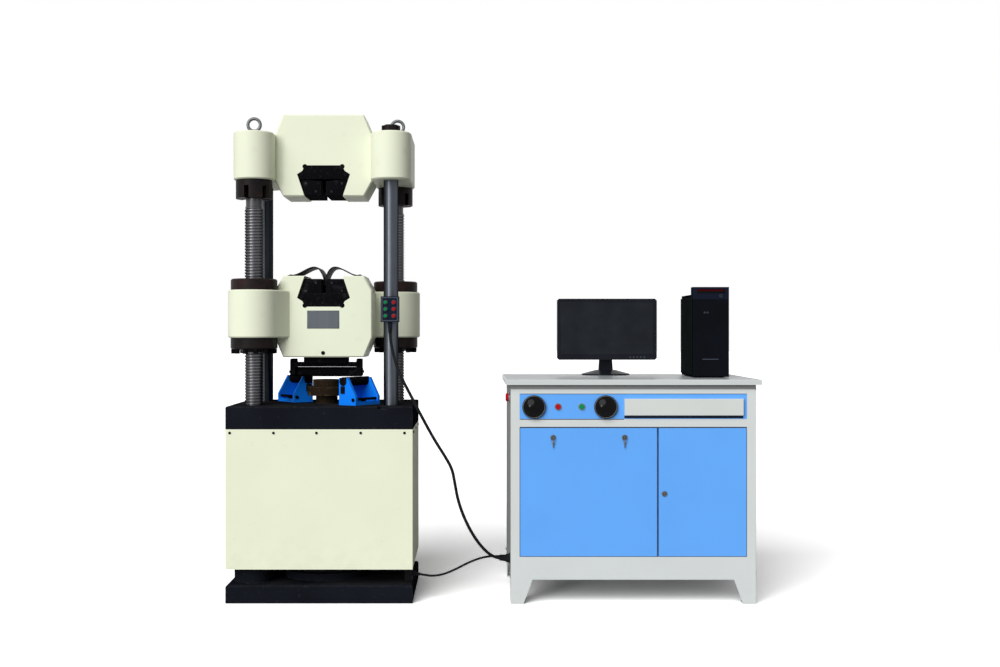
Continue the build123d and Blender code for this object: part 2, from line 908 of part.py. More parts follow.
# Keyboard drawer: a front and an open tray on the runners
front_y = cab_front - slide_gap
drawer = block(
    drawer_left,
    drawer_left + drawer_width,
    front_y - drawer_front_thickness,
    front_y,
    drawer_bottom,
    drawer_top,
)
drawer = chamfer(drawer.faces().sort_by(Axis.Y)[0].edges(), drawer_front_edge)
tray_top = drawer_top - drawer_lip
tray = block(tray_left, tray_right, front_y, front_y + drawer_tray_depth, tray_bottom, tray_top)
tray -= block(
    tray_left + drawer_wall,
    tray_right - drawer_wall,
    front_y,
    front_y + drawer_tray_depth - drawer_wall,
    tray_bottom + drawer_wall,
    tray_top,
)
save("drawer", drawer + tray)


# Doors: folded sheet pans flush with the front frame
def door_pan(x0, x1, locks):
    """Pan between two edges, with a hole for each lock."""
    pan = block(x0, x1, cab_front, cab_front + door_thickness, door_bottom + door_gap, door_top - door_gap)
    pan -= block(
        x0 + door_sheet,
        x1 - door_sheet,
        cab_front + door_sheet,
        cab_front + door_thickness,
        door_bottom + door_gap + door_sheet,
        door_top - door_gap - door_sheet,
    )
    for x, z in locks:
        pan -= bar_y(x, z, cab_front, cab_front + door_sheet, lock_r + running_fit)
    return pan


save("left_door", door_pan(open_left + door_gap, door_split - door_split_gap / 2, left_lock_places))
save("right_door", door_pan(door_split + door_split_gap / 2, open_right - door_gap, right_lock_places))
lock_names = ("left_lock_1", "left_lock_2", "right_lock")
for name, (x, z) in zip(lock_names, left_lock_places + right_lock_places):
    lock_front = cab_front - slide_gap
    lock = bar_y(x, z, lock_front - lock_flange_height, lock_front, lock_flange_r)
    lock += bar_y(x, z, lock_front, cab_front + lock_length, lock_r)
    slot_y = lock_front - lock_flange_height
    lock -= block(
        x - lock_key_slot / 2,
        x + lock_key_slot / 2,
        slot_y,
        slot_y + lock_flange_height,
        z - lock_r / 2,
        z + lock_r / 2,
    )
    save(name, lock)

# Hydraulic unit in the left compartment
tank_base = cab_base + cab_wall
tank_lid = tank_base + tank_height
tank_back = tank_front + tank_depth
tank = block(tank_left, tank_right, tank_front, tank_back, tank_base, tank_lid)
tank = chamfer(tank.edges().filter_by(Axis.Z), tank_edge)
tank -= block(
    tank_left + tank_wall,
    tank_right - tank_wall,
    tank_front + tank_edge + tank_wall,
    tank_back - tank_edge - tank_wall,
    tank_base + tank_wall,
    tank_lid - tank_wall,
)
tank += block(
    tank_left - tank_lid_overhang,
    tank_right + tank_lid_overhang,
    tank_front - tank_lid_overhang,
    tank_back + tank_lid_overhang,
    tank_lid,
    tank_lid + tank_lid_height,
)
tank_top = tank_lid + tank_lid_height
filler_place = (tank_right - filler_inset, tank_front + filler_inset)
tank += post(*filler_place, tank_top, tank_top + filler_height, filler_r)
save("oil_tank", tank)
motor_y = (tank_front + tank_back) / 2
motor_z = tank_top + motor_axis_height
motor_left = tank_left + motor_bell_length + tank_edge
motor_right = motor_left + motor_length
motor = bar_x(motor_y, motor_z, motor_left, motor_right, motor_r)
pump_left = motor_right + motor_bell_length
motor += bar_x(motor_y, motor_z, motor_left - motor_bell_length, pump_left, motor_bell_r)
motor += bar_x(motor_y, motor_z, pump_left, pump_left + pump_length, pump_r)
motor_middle = (motor_left + motor_right) / 2
motor += block(
    motor_middle - motor_foot_length / 2,
    motor_middle + motor_foot_length / 2,
    motor_y - motor_foot_width / 2,
    motor_y + motor_foot_width / 2,
    tank_top,
    motor_z,
)
save("pump_motor", motor)

# Screen on its stand
screen_bottom = desk_top + screen_rise
screen_top = screen_bottom + screen_height
hinge_height = screen_bottom + hinge_rise
screen_left = screen_x - screen_width / 2
screen_right = screen_x + screen_width / 2
screen_back = screen_front + screen_thickness
screen = block(screen_left, screen_right, screen_front, screen_back, screen_bottom, screen_top)
screen = chamfer(screen.edges().filter_by(Axis.Y), screen_corner)
screen -= block(
    screen_left + screen_border,
    screen_right - screen_border,
    screen_front,
    screen_front + screen_recess,
    screen_bottom + screen_chin,
    screen_top - screen_border,
)
bulge_middle = (screen_x, screen_back, (screen_bottom + screen_top) / 2)
bulge_plane = Plane(origin=bulge_middle, x_dir=(1, 0, 0), z_dir=(0, 1, 0))
bulge_root = Rectangle(screen_bulge_width, screen_bulge_height)
bulge_end = offset(bulge_root, -screen_bulge_taper, kind=Kind.INTERSECTION)
bulge = loft([bulge_plane * bulge_root, bulge_plane.offset(screen_bulge_depth) * bulge_end])
screen += bulge
hinge_y = screen_back + screen_bulge_depth + hinge_gap
ear_inner = neck_width / 2 + slide_gap
for side in (-1, 1):
    ear_x = sorted((screen_x + side * ear_inner, screen_x + side * (ear_inner + hinge_ear)))
    ear_z = (hinge_height - hinge_barrel_r, hinge_height + hinge_barrel_r)
    screen += block(*ear_x, screen_back + screen_bulge_depth, hinge_y, *ear_z)
    screen += bar_x(hinge_y, hinge_height, *ear_x, hinge_barrel_r)
screen -= bar_x(hinge_y, hinge_height, screen_left, screen_right, hinge_pin_r + running_fit)
save("monitor_head", screen)
foot_plan = Ellipse(stand_width / 2, stand_depth / 2)
foot_crown = Ellipse(stand_top_share * stand_width / 2, stand_top_share * stand_depth / 2)
stand_place = Pos(screen_x, hinge_y, desk_top)
stand = stand_place * extrude(foot_plan, stand_rim)
stand += stand_place * loft([Pos(0, 0, stand_rim) * foot_plan, Pos(0, 0, stand_height) * foot_crown])
neck_foot = Pos(0, 0, stand_rim) * Rectangle(neck_foot_width, neck_thickness)
neck_top = Pos(0, 0, hinge_height - desk_top) * Rectangle(neck_top_width, neck_thickness)
stand += stand_place * loft([neck_foot, neck_top])
stand += bar_x(hinge_y, hinge_height, screen_x - neck_width / 2, screen_x + neck_width / 2, hinge_barrel_r)
pin_half = ear_inner + hinge_ear
stand += bar_x(hinge_y, hinge_height, screen_x - pin_half, screen_x + pin_half, hinge_pin_r)
save("monitor_stand", stand)

# Computer: a case on four feet with a taller moulded front, deeper at its head
pc_bottom = desk_top + pc_foot
pc_top = desk_top + pc_height
bezel_back = pc_front + pc_bezel_depth
bezel = block(pc_left, pc_left + pc_width, pc_front, bezel_back, pc_bottom, pc_top)
bezel = chamfer(bezel.faces().sort_by(Axis.Y)[0].edges(), pc_bezel_edge)
case_left = pc_left + pc_side_inset
case_right = pc_left + pc_width - pc_side_inset
case = block(case_left, case_right, bezel_back, pc_front + pc_depth, pc_bottom, pc_top - pc_shoulder)
head = block(pc_left, pc_left + pc_width, pc_front, pc_front + pc_head_depth, pc_top - pc_head_height, pc_top)
head = chamfer(head.faces().sort_by(Axis.Y)[0].edges(), pc_bezel_edge)
mouth_x = (pc_left + (pc_width - pc_mouth_width) / 2, pc_left + (pc_width + pc_mouth_width) / 2)
mouth_z = (pc_top - pc_mouth_drop - pc_mouth_height, pc_top - pc_mouth_drop)
computer = bezel + head + case - block(*mouth_x, pc_front, pc_front + pc_mouth_depth, *mouth_z)
for x in (case_left + pc_foot_inset, case_right - pc_foot_inset):
    for y in (bezel_back + pc_foot_inset, pc_front + pc_depth - pc_foot_inset):
        computer += post(x, y, desk_top, pc_bottom, pc_foot_r)
save("pc_case", computer)


# Cables between the load frame and the cabinet
def cable(name, points, r):
    """Round tube along straight runs joined by arcs as large as the runs allow."""
    places = [Vector(*p) for p in points]
    runs = [b - a for a, b in zip(places, places[1:])]
    radii = []
    for a, b in zip(runs, runs[1:]):
        half_turn = math.radians(a.get_angle(b)) / 2
        radii.append(cable_arc_share * min(a.length, b.length) / math.tan(half_turn))
    line = FilletPolyline(*points, radius=radii)
    start = Plane(origin=points[0], z_dir=runs[0])
    tube = sweep(start * Circle(r), path=line)
    print(name, "length", round(line.length), "radii", [round(radius) for radius in radii])
    print(name, "volume over section times length", round(tube.volume / (math.pi * r * r * line.length), 4))
    save(name, tube)


entry_x = cab_left - gland_length
entry_seat = cab_left - gland_flange_height
outlet_x = slab_width / 2
gland_bottom = pendant_z0 - pendant_gland_length
pendant_start = (pendant_x, gland_y, gland_bottom)
pendant_end = (entry_seat, pendant_entry_y, pendant_entry_z)
pendant_hang = (pendant_x, gland_y, gland_bottom - pendant_drop)
cable("pendant_cable", [pendant_start, pendant_hang, *pendant_route, pendant_end], pendant_cable_r)
base_start = (outlet_x, outlet_y, outlet_z)
base_end = (entry_seat, base_entry_y, base_entry_z)
cable("base_cable", [base_start, *base_route, base_end], base_cable_r)

# Cable glands on the cabinet's side, and the outlet block on the base slab
glands = []
for y, z in ((pendant_entry_y, pendant_entry_z), (base_entry_y, base_entry_z)):
    gland = bar_x(y, z, entry_seat, cab_left, gland_flange_r)
    glands.append(gland + bar_x(y, z, entry_x, entry_seat, gland_r))
outlet = block(
    outlet_x - outlet_width - slab_edge,
    outlet_x - slab_edge,
    outlet_y - outlet_width / 2,
    outlet_y + outlet_width / 2,
    slab_height,
    slab_height + outlet_height,
)
outlet += bar_x(outlet_y, outlet_z, outlet_x - slab_edge, outlet_x, gland_r)
save("cable_glands", *glands, outlet)
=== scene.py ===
import math

import bpy
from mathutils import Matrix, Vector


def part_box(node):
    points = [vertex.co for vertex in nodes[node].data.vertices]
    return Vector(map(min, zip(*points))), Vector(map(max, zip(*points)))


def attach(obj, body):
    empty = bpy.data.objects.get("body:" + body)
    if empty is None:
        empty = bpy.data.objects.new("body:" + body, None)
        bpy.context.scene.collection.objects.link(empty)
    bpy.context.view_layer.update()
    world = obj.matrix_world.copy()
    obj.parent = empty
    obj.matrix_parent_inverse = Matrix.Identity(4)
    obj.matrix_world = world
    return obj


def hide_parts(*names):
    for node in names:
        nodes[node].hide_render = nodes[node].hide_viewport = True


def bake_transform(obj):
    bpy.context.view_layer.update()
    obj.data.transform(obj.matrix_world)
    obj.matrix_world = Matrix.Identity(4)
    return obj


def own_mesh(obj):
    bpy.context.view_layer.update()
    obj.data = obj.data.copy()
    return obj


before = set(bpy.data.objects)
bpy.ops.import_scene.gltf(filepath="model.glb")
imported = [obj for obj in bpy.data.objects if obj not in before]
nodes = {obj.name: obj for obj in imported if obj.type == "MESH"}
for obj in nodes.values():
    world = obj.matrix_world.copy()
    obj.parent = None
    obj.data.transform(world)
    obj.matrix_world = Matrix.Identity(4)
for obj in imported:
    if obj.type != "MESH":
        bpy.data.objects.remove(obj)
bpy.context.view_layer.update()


# Base slab: a flame-cut steel plate under the load frame, bolted to the floor of the machine room.
# It is painted charcoal, with floor dust lying on its top and the paint rubbed thin along its edges.
class Shade:
    """A socket of a material, so that shader maths reads as a plain expression."""

    def __init__(self, tree, socket=None):
        self.tree = tree
        self.socket = socket

    def node(self, kind, settings, sockets, output=0):
        """A new node: its settings first, then the values or links of its sockets."""
        made = self.tree.nodes.new(kind)
        for name, value in settings.items():
            setattr(made, name, value)
        feed(made, sockets)
        return Shade(self.tree, made.outputs[output])

    def maths(self, operation, first, second):
        return self.node("ShaderNodeMath", {"operation": operation}, {0: first, 1: second})

    def __add__(self, other):
        return self.maths("ADD", self, other)

    def __radd__(self, other):
        return self.maths("ADD", other, self)

    def __sub__(self, other):
        return self.maths("SUBTRACT", self, other)

    def __rsub__(self, other):
        return self.maths("SUBTRACT", other, self)

    def __mul__(self, other):
        return self.maths("MULTIPLY", self, other)

    def __rmul__(self, other):
        return self.maths("MULTIPLY", other, self)

    def between(self, low, high):
        """0 below low, 1 above high."""
        return self.node("ShaderNodeMapRange", {}, {"Value": self, "From Min": low, "From Max": high})

    def noise(self, scale, detail=2.0, stretch=(1, 1, 1)):
        """Noise over object coordinates, in waves per metre, stretched along an axis."""
        place = self.node("ShaderNodeMapping", {}, {"Vector": self, "Scale": stretch})
        return self.node("ShaderNodeTexNoise", {}, {"Vector": place, "Scale": scale, "Detail": detail})

    def colour(self, first, second):
        """Colour that goes from the first to the second with this value."""
        ends = [end if isinstance(end, Shade) else (*end, 1) for end in (first, second)]
        return self.node("ShaderNodeMix", {"data_type": "RGBA"}, {0: self, 6: ends[0], 7: ends[1]}, 2)

    def axis(self, letter):
        """One coordinate of a vector."""
        return self.node("ShaderNodeSeparateXYZ", {}, {"Vector": self}, letter)

    def normal(self):
        """The way that each face looks."""
        return self.node("ShaderNodeNewGeometry", {}, {}, "Normal")

    def edge(self, radius):
        """1 along edges, from how far a rounded normal turns away from the flat one."""
        rounded = self.node("ShaderNodeBevel", {"samples": 4}, {"Radius": radius})
        vectors = {0: rounded, 1: self.normal()}
        likeness = self.node("ShaderNodeVectorMath", {"operation": "DOT_PRODUCT"}, vectors, "Value")
        return (1 - likeness).between(0.02, 0.16)

    def bump(self, strength, distance):
        return self.node("ShaderNodeBump", {}, {"Height": self, "Strength": strength, "Distance": distance})


def feed(node, sockets):
    """Links what varies to a node's sockets, and sets what doesn't."""
    for name, value in sockets.items():
        if isinstance(value, Shade):
            value.tree.links.new(value.socket, node.inputs[name])
        else:
            node.inputs[name].default_value = value


def new_finish(name):
    """A new material and its object coordinates."""
    material = bpy.data.materials.new(name)
    material.use_nodes = True
    return material, Shade(material.node_tree).node("ShaderNodeTexCoord", {}, {}, "Object")


def set_shader(material, sockets):
    """Constants go on the shader's own sockets, what varies is linked."""
    feed(material.node_tree.nodes["Principled BSDF"], sockets)
    return material


def tint(colour, share):
    """A colour made lighter or darker."""
    return [share * c for c in colour]


def coat(piece, material):
    """Gives a piece its finish."""
    piece.data.materials.clear()
    piece.data.materials.append(material)
    return piece


def dress(material, *names):
    """Gives CAD nodes their finish."""
    for name in names:
        coat(nodes[name], material)


def dusty_paint(name, colour, worn, dust, roughness):
    """Thick brushed enamel on plate: soft brush marks, dust on what looks up, worn specks."""
    material, place = new_finish(name)
    upward = place.normal().axis("Z")
    brush = place.noise(90, 3, (0.25, 1, 1))
    speck = place.noise(70, 5).between(0.64, 0.72)
    lying = upward.between(0.6, 0.95) * place.noise(9, 5).between(0.35, 0.75)
    rubbed = place.edge(0.004) * place.noise(40, 4).between(0.4, 0.62)
    base = place.noise(5, 4).between(0.3, 0.7).colour(colour, tint(colour, 1.5))
    base = (speck * 0.2 + rubbed * 0.6).colour(base, worn)
    return set_shader(material, {
        "Base Color": (lying * 0.35).colour(base, dust),
        "Specular IOR Level": 0.0,
        "Roughness": roughness + (brush - 0.5) * 0.15 + lying * 0.3,
        "Normal": (brush + 0.6 * place.noise(500, 2)).bump(0.1, 0.002),
    })


charcoal = dusty_paint(
    "charcoal_paint", (0.0072, 0.0085, 0.012),
    worn=(0.07, 0.07, 0.075), dust=(0.06, 0.054, 0.045), roughness=0.46,
)
dress(charcoal, "base_slab")


# Ram under the table: a cast cylinder on the slab and the ground piston that lifts the frame.
# The cylinder is painted like the slab, the piston is ground bright and wet with oil.
def turned_steel(name, colour, roughness, streaks, metal, shine=0.4, ground=0.0, rim=1.0):
    """Ground or turned steel: rings round the axis, faint runs of oil along it."""
    material, place = new_finish(name)
    rings = place.noise(700, 2, (0.03, 0.03, 1))
    runs = place.noise(streaks, 4, (1, 1, 0.05))
    film = place.noise(7, 4)
    base = runs.between(0.2, 0.8).colour(tint(colour, 0.82), tint(colour, 1.14))
    return set_shader(material, {
        "Base Color": (film.between(0.55, 0.8) * 0.2).colour(base, tint(colour, 0.6)),
        "Metallic": metal,
        "Specular IOR Level": shine,
        "Specular Tint": (rim, rim, rim, 1),
        "Anisotropic": ground,
        "Anisotropic Rotation": 0.25,
        "Roughness": roughness + (rings - 0.5) * 0.06 + (film - 0.5) * 0.12,
        "Normal": rings.bump(0.02, 0.0004),
    })


ground_steel = turned_steel(
    "ground_steel", (0.082, 0.091, 0.106), 0.37, streaks=60, metal=1.0, shine=0.5, ground=0.8, rim=0.05
)
dress(charcoal, "cylinder")
dress(ground_steel, "piston")

# Lead screws: long trapezoidal screws with a 12 mm lead, turned from steel bar and kept greased.
# Each stands in a bearing in the slab, and its smooth neck turns in the guide nut at the top.
thread_crest = 0.0375
thread_root = 0.0334
thread_lead = 0.012
thread_flank = 0.0014
thread_flat = thread_lead / 2 - thread_flank
thread_bottom = 0.1323
thread_top = 1.572
thread_runout = 0.001
neck_radius = 0.033
neck_end = 1.846
shoulder_radius = neck_radius + 0.0025
journal_radius = 0.03
journal_bottom = 0.0393
screw_chamfer = 0.003
screw_places = ((-0.277, -0.14), (0.277, 0.14))


def pick(piece):
    """Selects one piece alone and makes it the active one."""
    bpy.ops.object.select_all(action="DESELECT")
    piece.select_set(True)
    bpy.context.view_layer.objects.active = piece


def edit_all():
    """Opens the active piece in edit mode with its whole mesh selected."""
    bpy.ops.object.mode_set(mode="EDIT")
    bpy.ops.mesh.select_all(action="SELECT")


def edit_some(items, kind, wanted):
    """Opens the active piece in edit mode with only the wanted corners or faces selected."""
    bpy.ops.object.mode_set(mode="EDIT")
    bpy.ops.mesh.select_mode(type=kind)
    bpy.ops.mesh.select_all(action="DESELECT")
    bpy.ops.object.mode_set(mode="OBJECT")
    for item in items:
        item.select = wanted(item)
    bpy.ops.object.mode_set(mode="EDIT")


def extrude(step):
    """Pulls out what is selected."""
    bpy.ops.mesh.extrude_region_move(TRANSFORM_OT_translate={"value": step})


def face_outwards():
    """Turns all faces outwards and leaves edit mode."""
    bpy.ops.mesh.select_all(action="SELECT")
    bpy.ops.mesh.normals_make_consistent(inside=False)
    bpy.ops.object.mode_set(mode="OBJECT")


def traced(name, points):
    """Line of edges through points, drawn by extruding one corner of a plane."""
    bpy.ops.object.select_all(action="DESELECT")
    bpy.ops.mesh.primitive_plane_add(size=2, location=(0, 0, 0))
    piece = bpy.context.object
    piece.name = name
    edit_some(piece.data.vertices, "VERT", lambda corner: corner.index > 0)
    bpy.ops.mesh.delete(type="VERT")
    bpy.ops.mesh.select_all(action="SELECT")
    here = (-1, -1, 0)
    for count, point in enumerate(points):
        step = [b - a for a, b in zip(here, point)]
        if count == 0:
            bpy.ops.transform.translate(value=step)
        else:
            bpy.ops.mesh.extrude_vertices_move(TRANSFORM_OT_translate={"value": step})
        here = point
    bpy.ops.object.mode_set(mode="OBJECT")
    return piece


def turned(name, profile, sides=48):
    """Round piece along Z: a disc extruded and widened from one (radius, height) to the next."""
    bpy.ops.object.select_all(action="DESELECT")
    radius, height = profile[0]
    bpy.ops.mesh.primitive_circle_add(vertices=sides, radius=radius, fill_type="NGON", location=(0, 0, 0))
    piece = bpy.context.object
    piece.name = name
    edit_all()
    bpy.ops.transform.translate(value=(0, 0, height))
    for next_radius, next_height in profile[1:]:
        extrude((0, 0, next_height - height))
        growth = next_radius / radius
        bpy.ops.transform.resize(value=(growth, growth, 1), center_override=(0, 0, next_height))
        radius, height = next_radius, next_height
    face_outwards()
    return piece


def place_piece(piece, place, turn=(0, 0, 0)):
    """Moves a piece to its place and puts the place into its mesh."""
    pick(piece)
    piece.rotation_euler = [math.radians(angle) for angle in turn]
    piece.location = place
    bpy.ops.object.transform_apply(location=True, rotation=True, scale=True)
    return piece


def copy_piece(model, place, turn=(0, 0, 0)):
    """A copy of a model piece at its place, with its own mesh."""
    made = model.copy()
    made.data = model.data.copy()
    bpy.context.scene.collection.objects.link(made)
    return place_piece(made, place, turn)


def join_pieces(name, pieces):
    """Makes one named piece of its parts."""
    pick(pieces[0])
    for piece in pieces[1:]:
        piece.select_set(True)
    if len(pieces) > 1:
        bpy.ops.object.join()
    pieces[0].name = name
    return pieces[0]


def apply_modifier(piece, kind, **settings):
    """Finishes a mesh with one modifier."""
    pick(piece)
    made = piece.modifiers.new(kind.lower(), kind)
    for name, value in settings.items():
        setattr(made, name, value)
    bpy.ops.object.modifier_apply(modifier=made.name)


def hand_over(name, pieces, material, body, smooth=35):
    """Joins a piece's parts, smooths it, gives it its finish and lets it ride on its body."""
    piece = join_pieces(name, pieces)
    if material is not None:
        coat(piece, material)
    pick(piece)
    bpy.ops.object.shade_smooth_by_angle(angle=math.radians(smooth))
    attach(piece, body)
    return piece


def greased_thread(name, axis_x, axis_y):
    """Screw steel: crests rubbed bright, old grease dark in the roots."""
    material, place = new_finish(name)
    centred = {"Vector": place, "Location": (-axis_x, -axis_y, 0), "Scale": (1, 1, 0)}
    across = place.node("ShaderNodeMapping", {}, centred)
    radius = place.node("ShaderNodeVectorMath", {"operation": "LENGTH"}, {0: across}, "Value")
    crest = radius.between(thread_root + 0.0012, thread_crest)
    patches = place.noise(16, 4)
    base = crest.colour((0.075, 0.074, 0.078), (0.135, 0.137, 0.147))
    return set_shader(material, {
        "Base Color": (patches.between(0.5, 0.75) * 0.4).colour(base, (0.09, 0.084, 0.084)),
        "Metallic": 1.0,
        "Specular Tint": (0.05, 0.05, 0.05, 1),
        "Anisotropic": 0.7,
        "Anisotropic Rotation": 0.25,
        "Roughness": 0.5 - crest * 0.12 + (patches - 0.5) * 0.16,
        "Normal": place.noise(400, 2).bump(0.08, 0.0008),
    })


dark_steel = turned_steel("dark_turned_steel", (0.04, 0.041, 0.045), 0.38, streaks=90, metal=0.1, shine=0.6)
thread_start = thread_bottom - thread_lead
thread_outline = [
    (thread_root, 0, thread_start),
    (thread_root, 0, thread_start + thread_flat),
    (thread_crest, 0, thread_start + thread_flat + thread_flank),
    (thread_crest, 0, thread_start + 2 * thread_flat + thread_flank),
    (thread_root, 0, thread_start + thread_lead),
]
thread_turns = math.ceil((thread_top - thread_bottom) / thread_lead) + 2
for label, (x, y) in zip(("left", "right"), screw_places):
    thread = traced("thread", thread_outline)
    apply_modifier(
        thread, "SCREW", screw_offset=thread_lead, iterations=thread_turns, steps=32, render_steps=32,
        use_merge_vertices=True, merge_threshold=1e-5,
    )
    bpy.ops.object.mode_set(mode="EDIT")
    for height, upper in ((thread_bottom + thread_runout, False), (thread_top - thread_runout, True)):
        bpy.ops.mesh.select_all(action="SELECT")
        bpy.ops.mesh.bisect(
            plane_co=(0, 0, height), plane_no=(0, 0, 1), use_fill=True, clear_inner=not upper, clear_outer=upper
        )
    face_outwards()
    neck = turned("neck", [
        (neck_radius - 0.002, thread_top - 0.004),
        (shoulder_radius, thread_top - thread_runout),
        (shoulder_radius, thread_top + 0.006),
        (neck_radius, thread_top + 0.008),
        (neck_radius, neck_end - screw_chamfer),
        (neck_radius - screw_chamfer, neck_end),
    ])
    foot = turned("foot", [
        (journal_radius - screw_chamfer, journal_bottom),
        (journal_radius, journal_bottom + screw_chamfer),
        (journal_radius, thread_bottom),
        (neck_radius, thread_bottom + 0.0005),
        (neck_radius, thread_bottom + 0.004),
    ])
    greased = greased_thread("greased_thread_" + label, x, y)
    parts = [coat(thread, greased), coat(neck, dark_steel), coat(foot, dark_steel)]
    for part in parts:
        place_piece(part, (x, y, 0))
    screw = hand_over("lead_screw_thread_" + label, parts, None, "lead_screw_" + label, 40)
    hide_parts("lead_screw_" + label)

# Table: the heavy plate that the ram lifts, planed on top and painted charcoal all over.
# The columns are shrunk into it, and the screws pass through it with room.
dress(charcoal, "table")


# Skirt: folded sheet panels round the ram, sprayed ivory and screwed to the table's rail.
# The spray has a fine orange peel, and the lower edge is a little dirtier than the rest.
def sprayed_paint(name, colour, dirt, roughness, peel, fade):
    """Sprayed paint: slight clouds, orange peel, small scuffs, and dirt that fades out upwards."""
    material, place = new_finish(name)
    cloud = place.noise(4, 3)
    scuff = place.noise(34, 6).between(0.67, 0.76)
    splash = (1 - place.axis("Z").between(*fade)) * place.noise(26, 5).between(0.42, 0.7)
    base = cloud.between(0.3, 0.7).colour(tint(colour, 0.96), colour)
    base = (scuff * 0.1).colour(base, dirt)
    return set_shader(material, {
        "Base Color": (splash * 0.1).colour(base, dirt),
        "Specular IOR Level": 0.05,
        "Roughness": roughness + (cloud - 0.5) * 0.1 + scuff * 0.12 + splash * 0.1,
        "Normal": place.noise(peel, 2).bump(0.06, 0.0008),
    })


ivory_sheet = sprayed_paint(
    "ivory_sheet_paint", (0.82, 0.86, 0.665), (0.42, 0.40, 0.31), 0.65, peel=420, fade=(0.134, 0.3)
)
dress(ivory_sheet, "skirt_front", "skirt_rear", "skirt_sides")


def blackened(name, colour, bright, roughness):
    """Oil-blackened steel: dark film, fine bright scratches, rubbed patches."""
    material, place = new_finish(name)
    scratch = place.noise(260, 3, (1, 0.06, 0.5)).between(0.66, 0.7)
    rubbed = place.noise(24, 5).between(0.58, 0.78)
    base = (rubbed * 0.25 + place.edge(0.0015) * 0.5).colour(colour, bright)
    return set_shader(material, {
        "Base Color": (scratch * 0.35).colour(base, bright),
        "Metallic": 0.02,
        "Specular IOR Level": 0.0,
        "Roughness": roughness + (place.noise(60, 3) - 0.5) * 0.2 - scratch * 0.1,
        "Normal": place.noise(320, 3).bump(0.08, 0.0008),
    })


def cap_screw(name, radius, height, socket_radius, socket_depth):
    """Socket screw's head, standing on Z = 0: a rounded drum with a socket."""
    rounding = 0.12 * radius
    return turned(name, [
        (radius, 0),
        (radius, height - rounding),
        (radius - rounding, height),
        (socket_radius, height),
        (socket_radius * 0.96, height - socket_depth),
    ], 24)


black_steel = blackened("blackened_steel", (0.005, 0.005, 0.0062), (0.07, 0.07, 0.075), 0.5)
skirt_front_y = 0.255
skirt_side_x = 0.37
skirt_screw_z = 0.674
skirt_screw = cap_screw("skirt_screw", 0.0052, 0.0032, 0.0026, 0.0018)
skirt_screws = []
for x in (-0.353, -0.180, -0.010, 0.165, 0.338):
    for facing in (1, -1):
        place = (x, -skirt_front_y * facing, skirt_screw_z)
        skirt_screws.append(copy_piece(skirt_screw, place, (90 * facing, 0, 0)))
for y in (-0.21, 0.0, 0.21):
    for side in (-1, 1):
        place = (side * skirt_side_x, y, skirt_screw_z)
        skirt_screws.append(copy_piece(skirt_screw, place, (0, 90 * side, 0)))
bpy.data.objects.remove(skirt_screw)
hand_over("skirt_screws", skirt_screws, black_steel, "moving_frame")

# Columns: two ground steel bars that carry the top crosshead, shrunk into the table.
# They are lightly oiled, with faint runs along them; the rear one is given a darker copy of the same steel,
# which is painted shade.
shaded_rear_steel = turned_steel(
    "shaded_rear_column_steel", (0.026, 0.029, 0.034), 0.4, streaks=60, metal=1.0, shine=0.5, ground=0.8, rim=0.05
)
dress(ground_steel, "column_right")
dress(shaded_rear_steel, "column_left")


# Crossheads: grey iron castings, filled, rubbed down and sprayed with ivory gloss.
# The wedge slot is left as machined and black with grease.
def casting_paint(name, colour, dirt):
    """Gloss on filled iron: slow waves of the filler, orange peel, rubbed and greasy places."""
    material, place = new_finish(name)
    wave = place.noise(7, 2)
    skin = place.noise(300, 2)
    cloud = place.noise(3, 3)
    grime = place.noise(18, 6).between(0.62, 0.82)
    base = cloud.between(0.3, 0.7).colour(tint(colour, 0.955), colour)
    return set_shader(material, {
        "Base Color": (grime * 0.2).colour(base, dirt),
        "Specular IOR Level": 0.05,
        "Roughness": 0.42 + (cloud - 0.5) * 0.12 + grime * 0.2,
        "Normal": (wave + 0.03 * skin).bump(0.12, 0.004),
    })


ivory_casting = casting_paint("ivory_casting_paint", (0.825, 0.865, 0.68), (0.45, 0.43, 0.34))
dress(ivory_casting, "upper_crosshead", "lower_crosshead")

# Retaining plates: blackened steel plates over the deep end of each wedge slot, front and rear.
# They keep the jaws from sliding out along the slot and are held by socket screws;
# the rear one reaches down behind the jaws, with a small sight window.
upper_mouth = 1.626
lower_mouth = 1.302
retainer_back = 0.1035
retainer_front = 0.1095
retainer_edge = 0.0008
screw_sink = 0.0002
plate_outline = [
    (0.1012, 0.071), (0.1068, 0.0895), (0.0857, 0.1035), (0.0815, 0.1128), (0.0852, 0.1195),
    (0.0848, 0.1248), (0.0807, 0.1292), (0.0753, 0.1299), (0.0702, 0.1258),
]
plate_outline = plate_outline + [(-x, depth) for x, depth in reversed(plate_outline)]
plate_screws = ((-0.088, 0.087), (0.088, 0.087), (-0.05, 0.114), (0.05, 0.114))
window_bars = ((-0.03, 0.03, 0.026, 0.052), (-0.03, -0.0065, 0.05, 0.0725), (0.0065, 0.03, 0.05, 0.0725))


def break_edges(piece, width, angle):
    """Rounds the edges that turn by more than an angle."""
    limit = math.radians(angle)
    apply_modifier(piece, "BEVEL", width=width, segments=2, limit_method="ANGLE", angle_limit=limit)


def plate(name, outline, near, far, edge):
    """Flat plate along Y: an outline in X and Z, filled, extruded and broken at its edges."""
    piece = traced(name, [(x, near, z) for x, z in outline])
    edit_all()
    bpy.ops.mesh.edge_face_add()
    extrude((0, far - near, 0))
    face_outwards()
    if edge:
        break_edges(piece, edge, 40)
    return piece


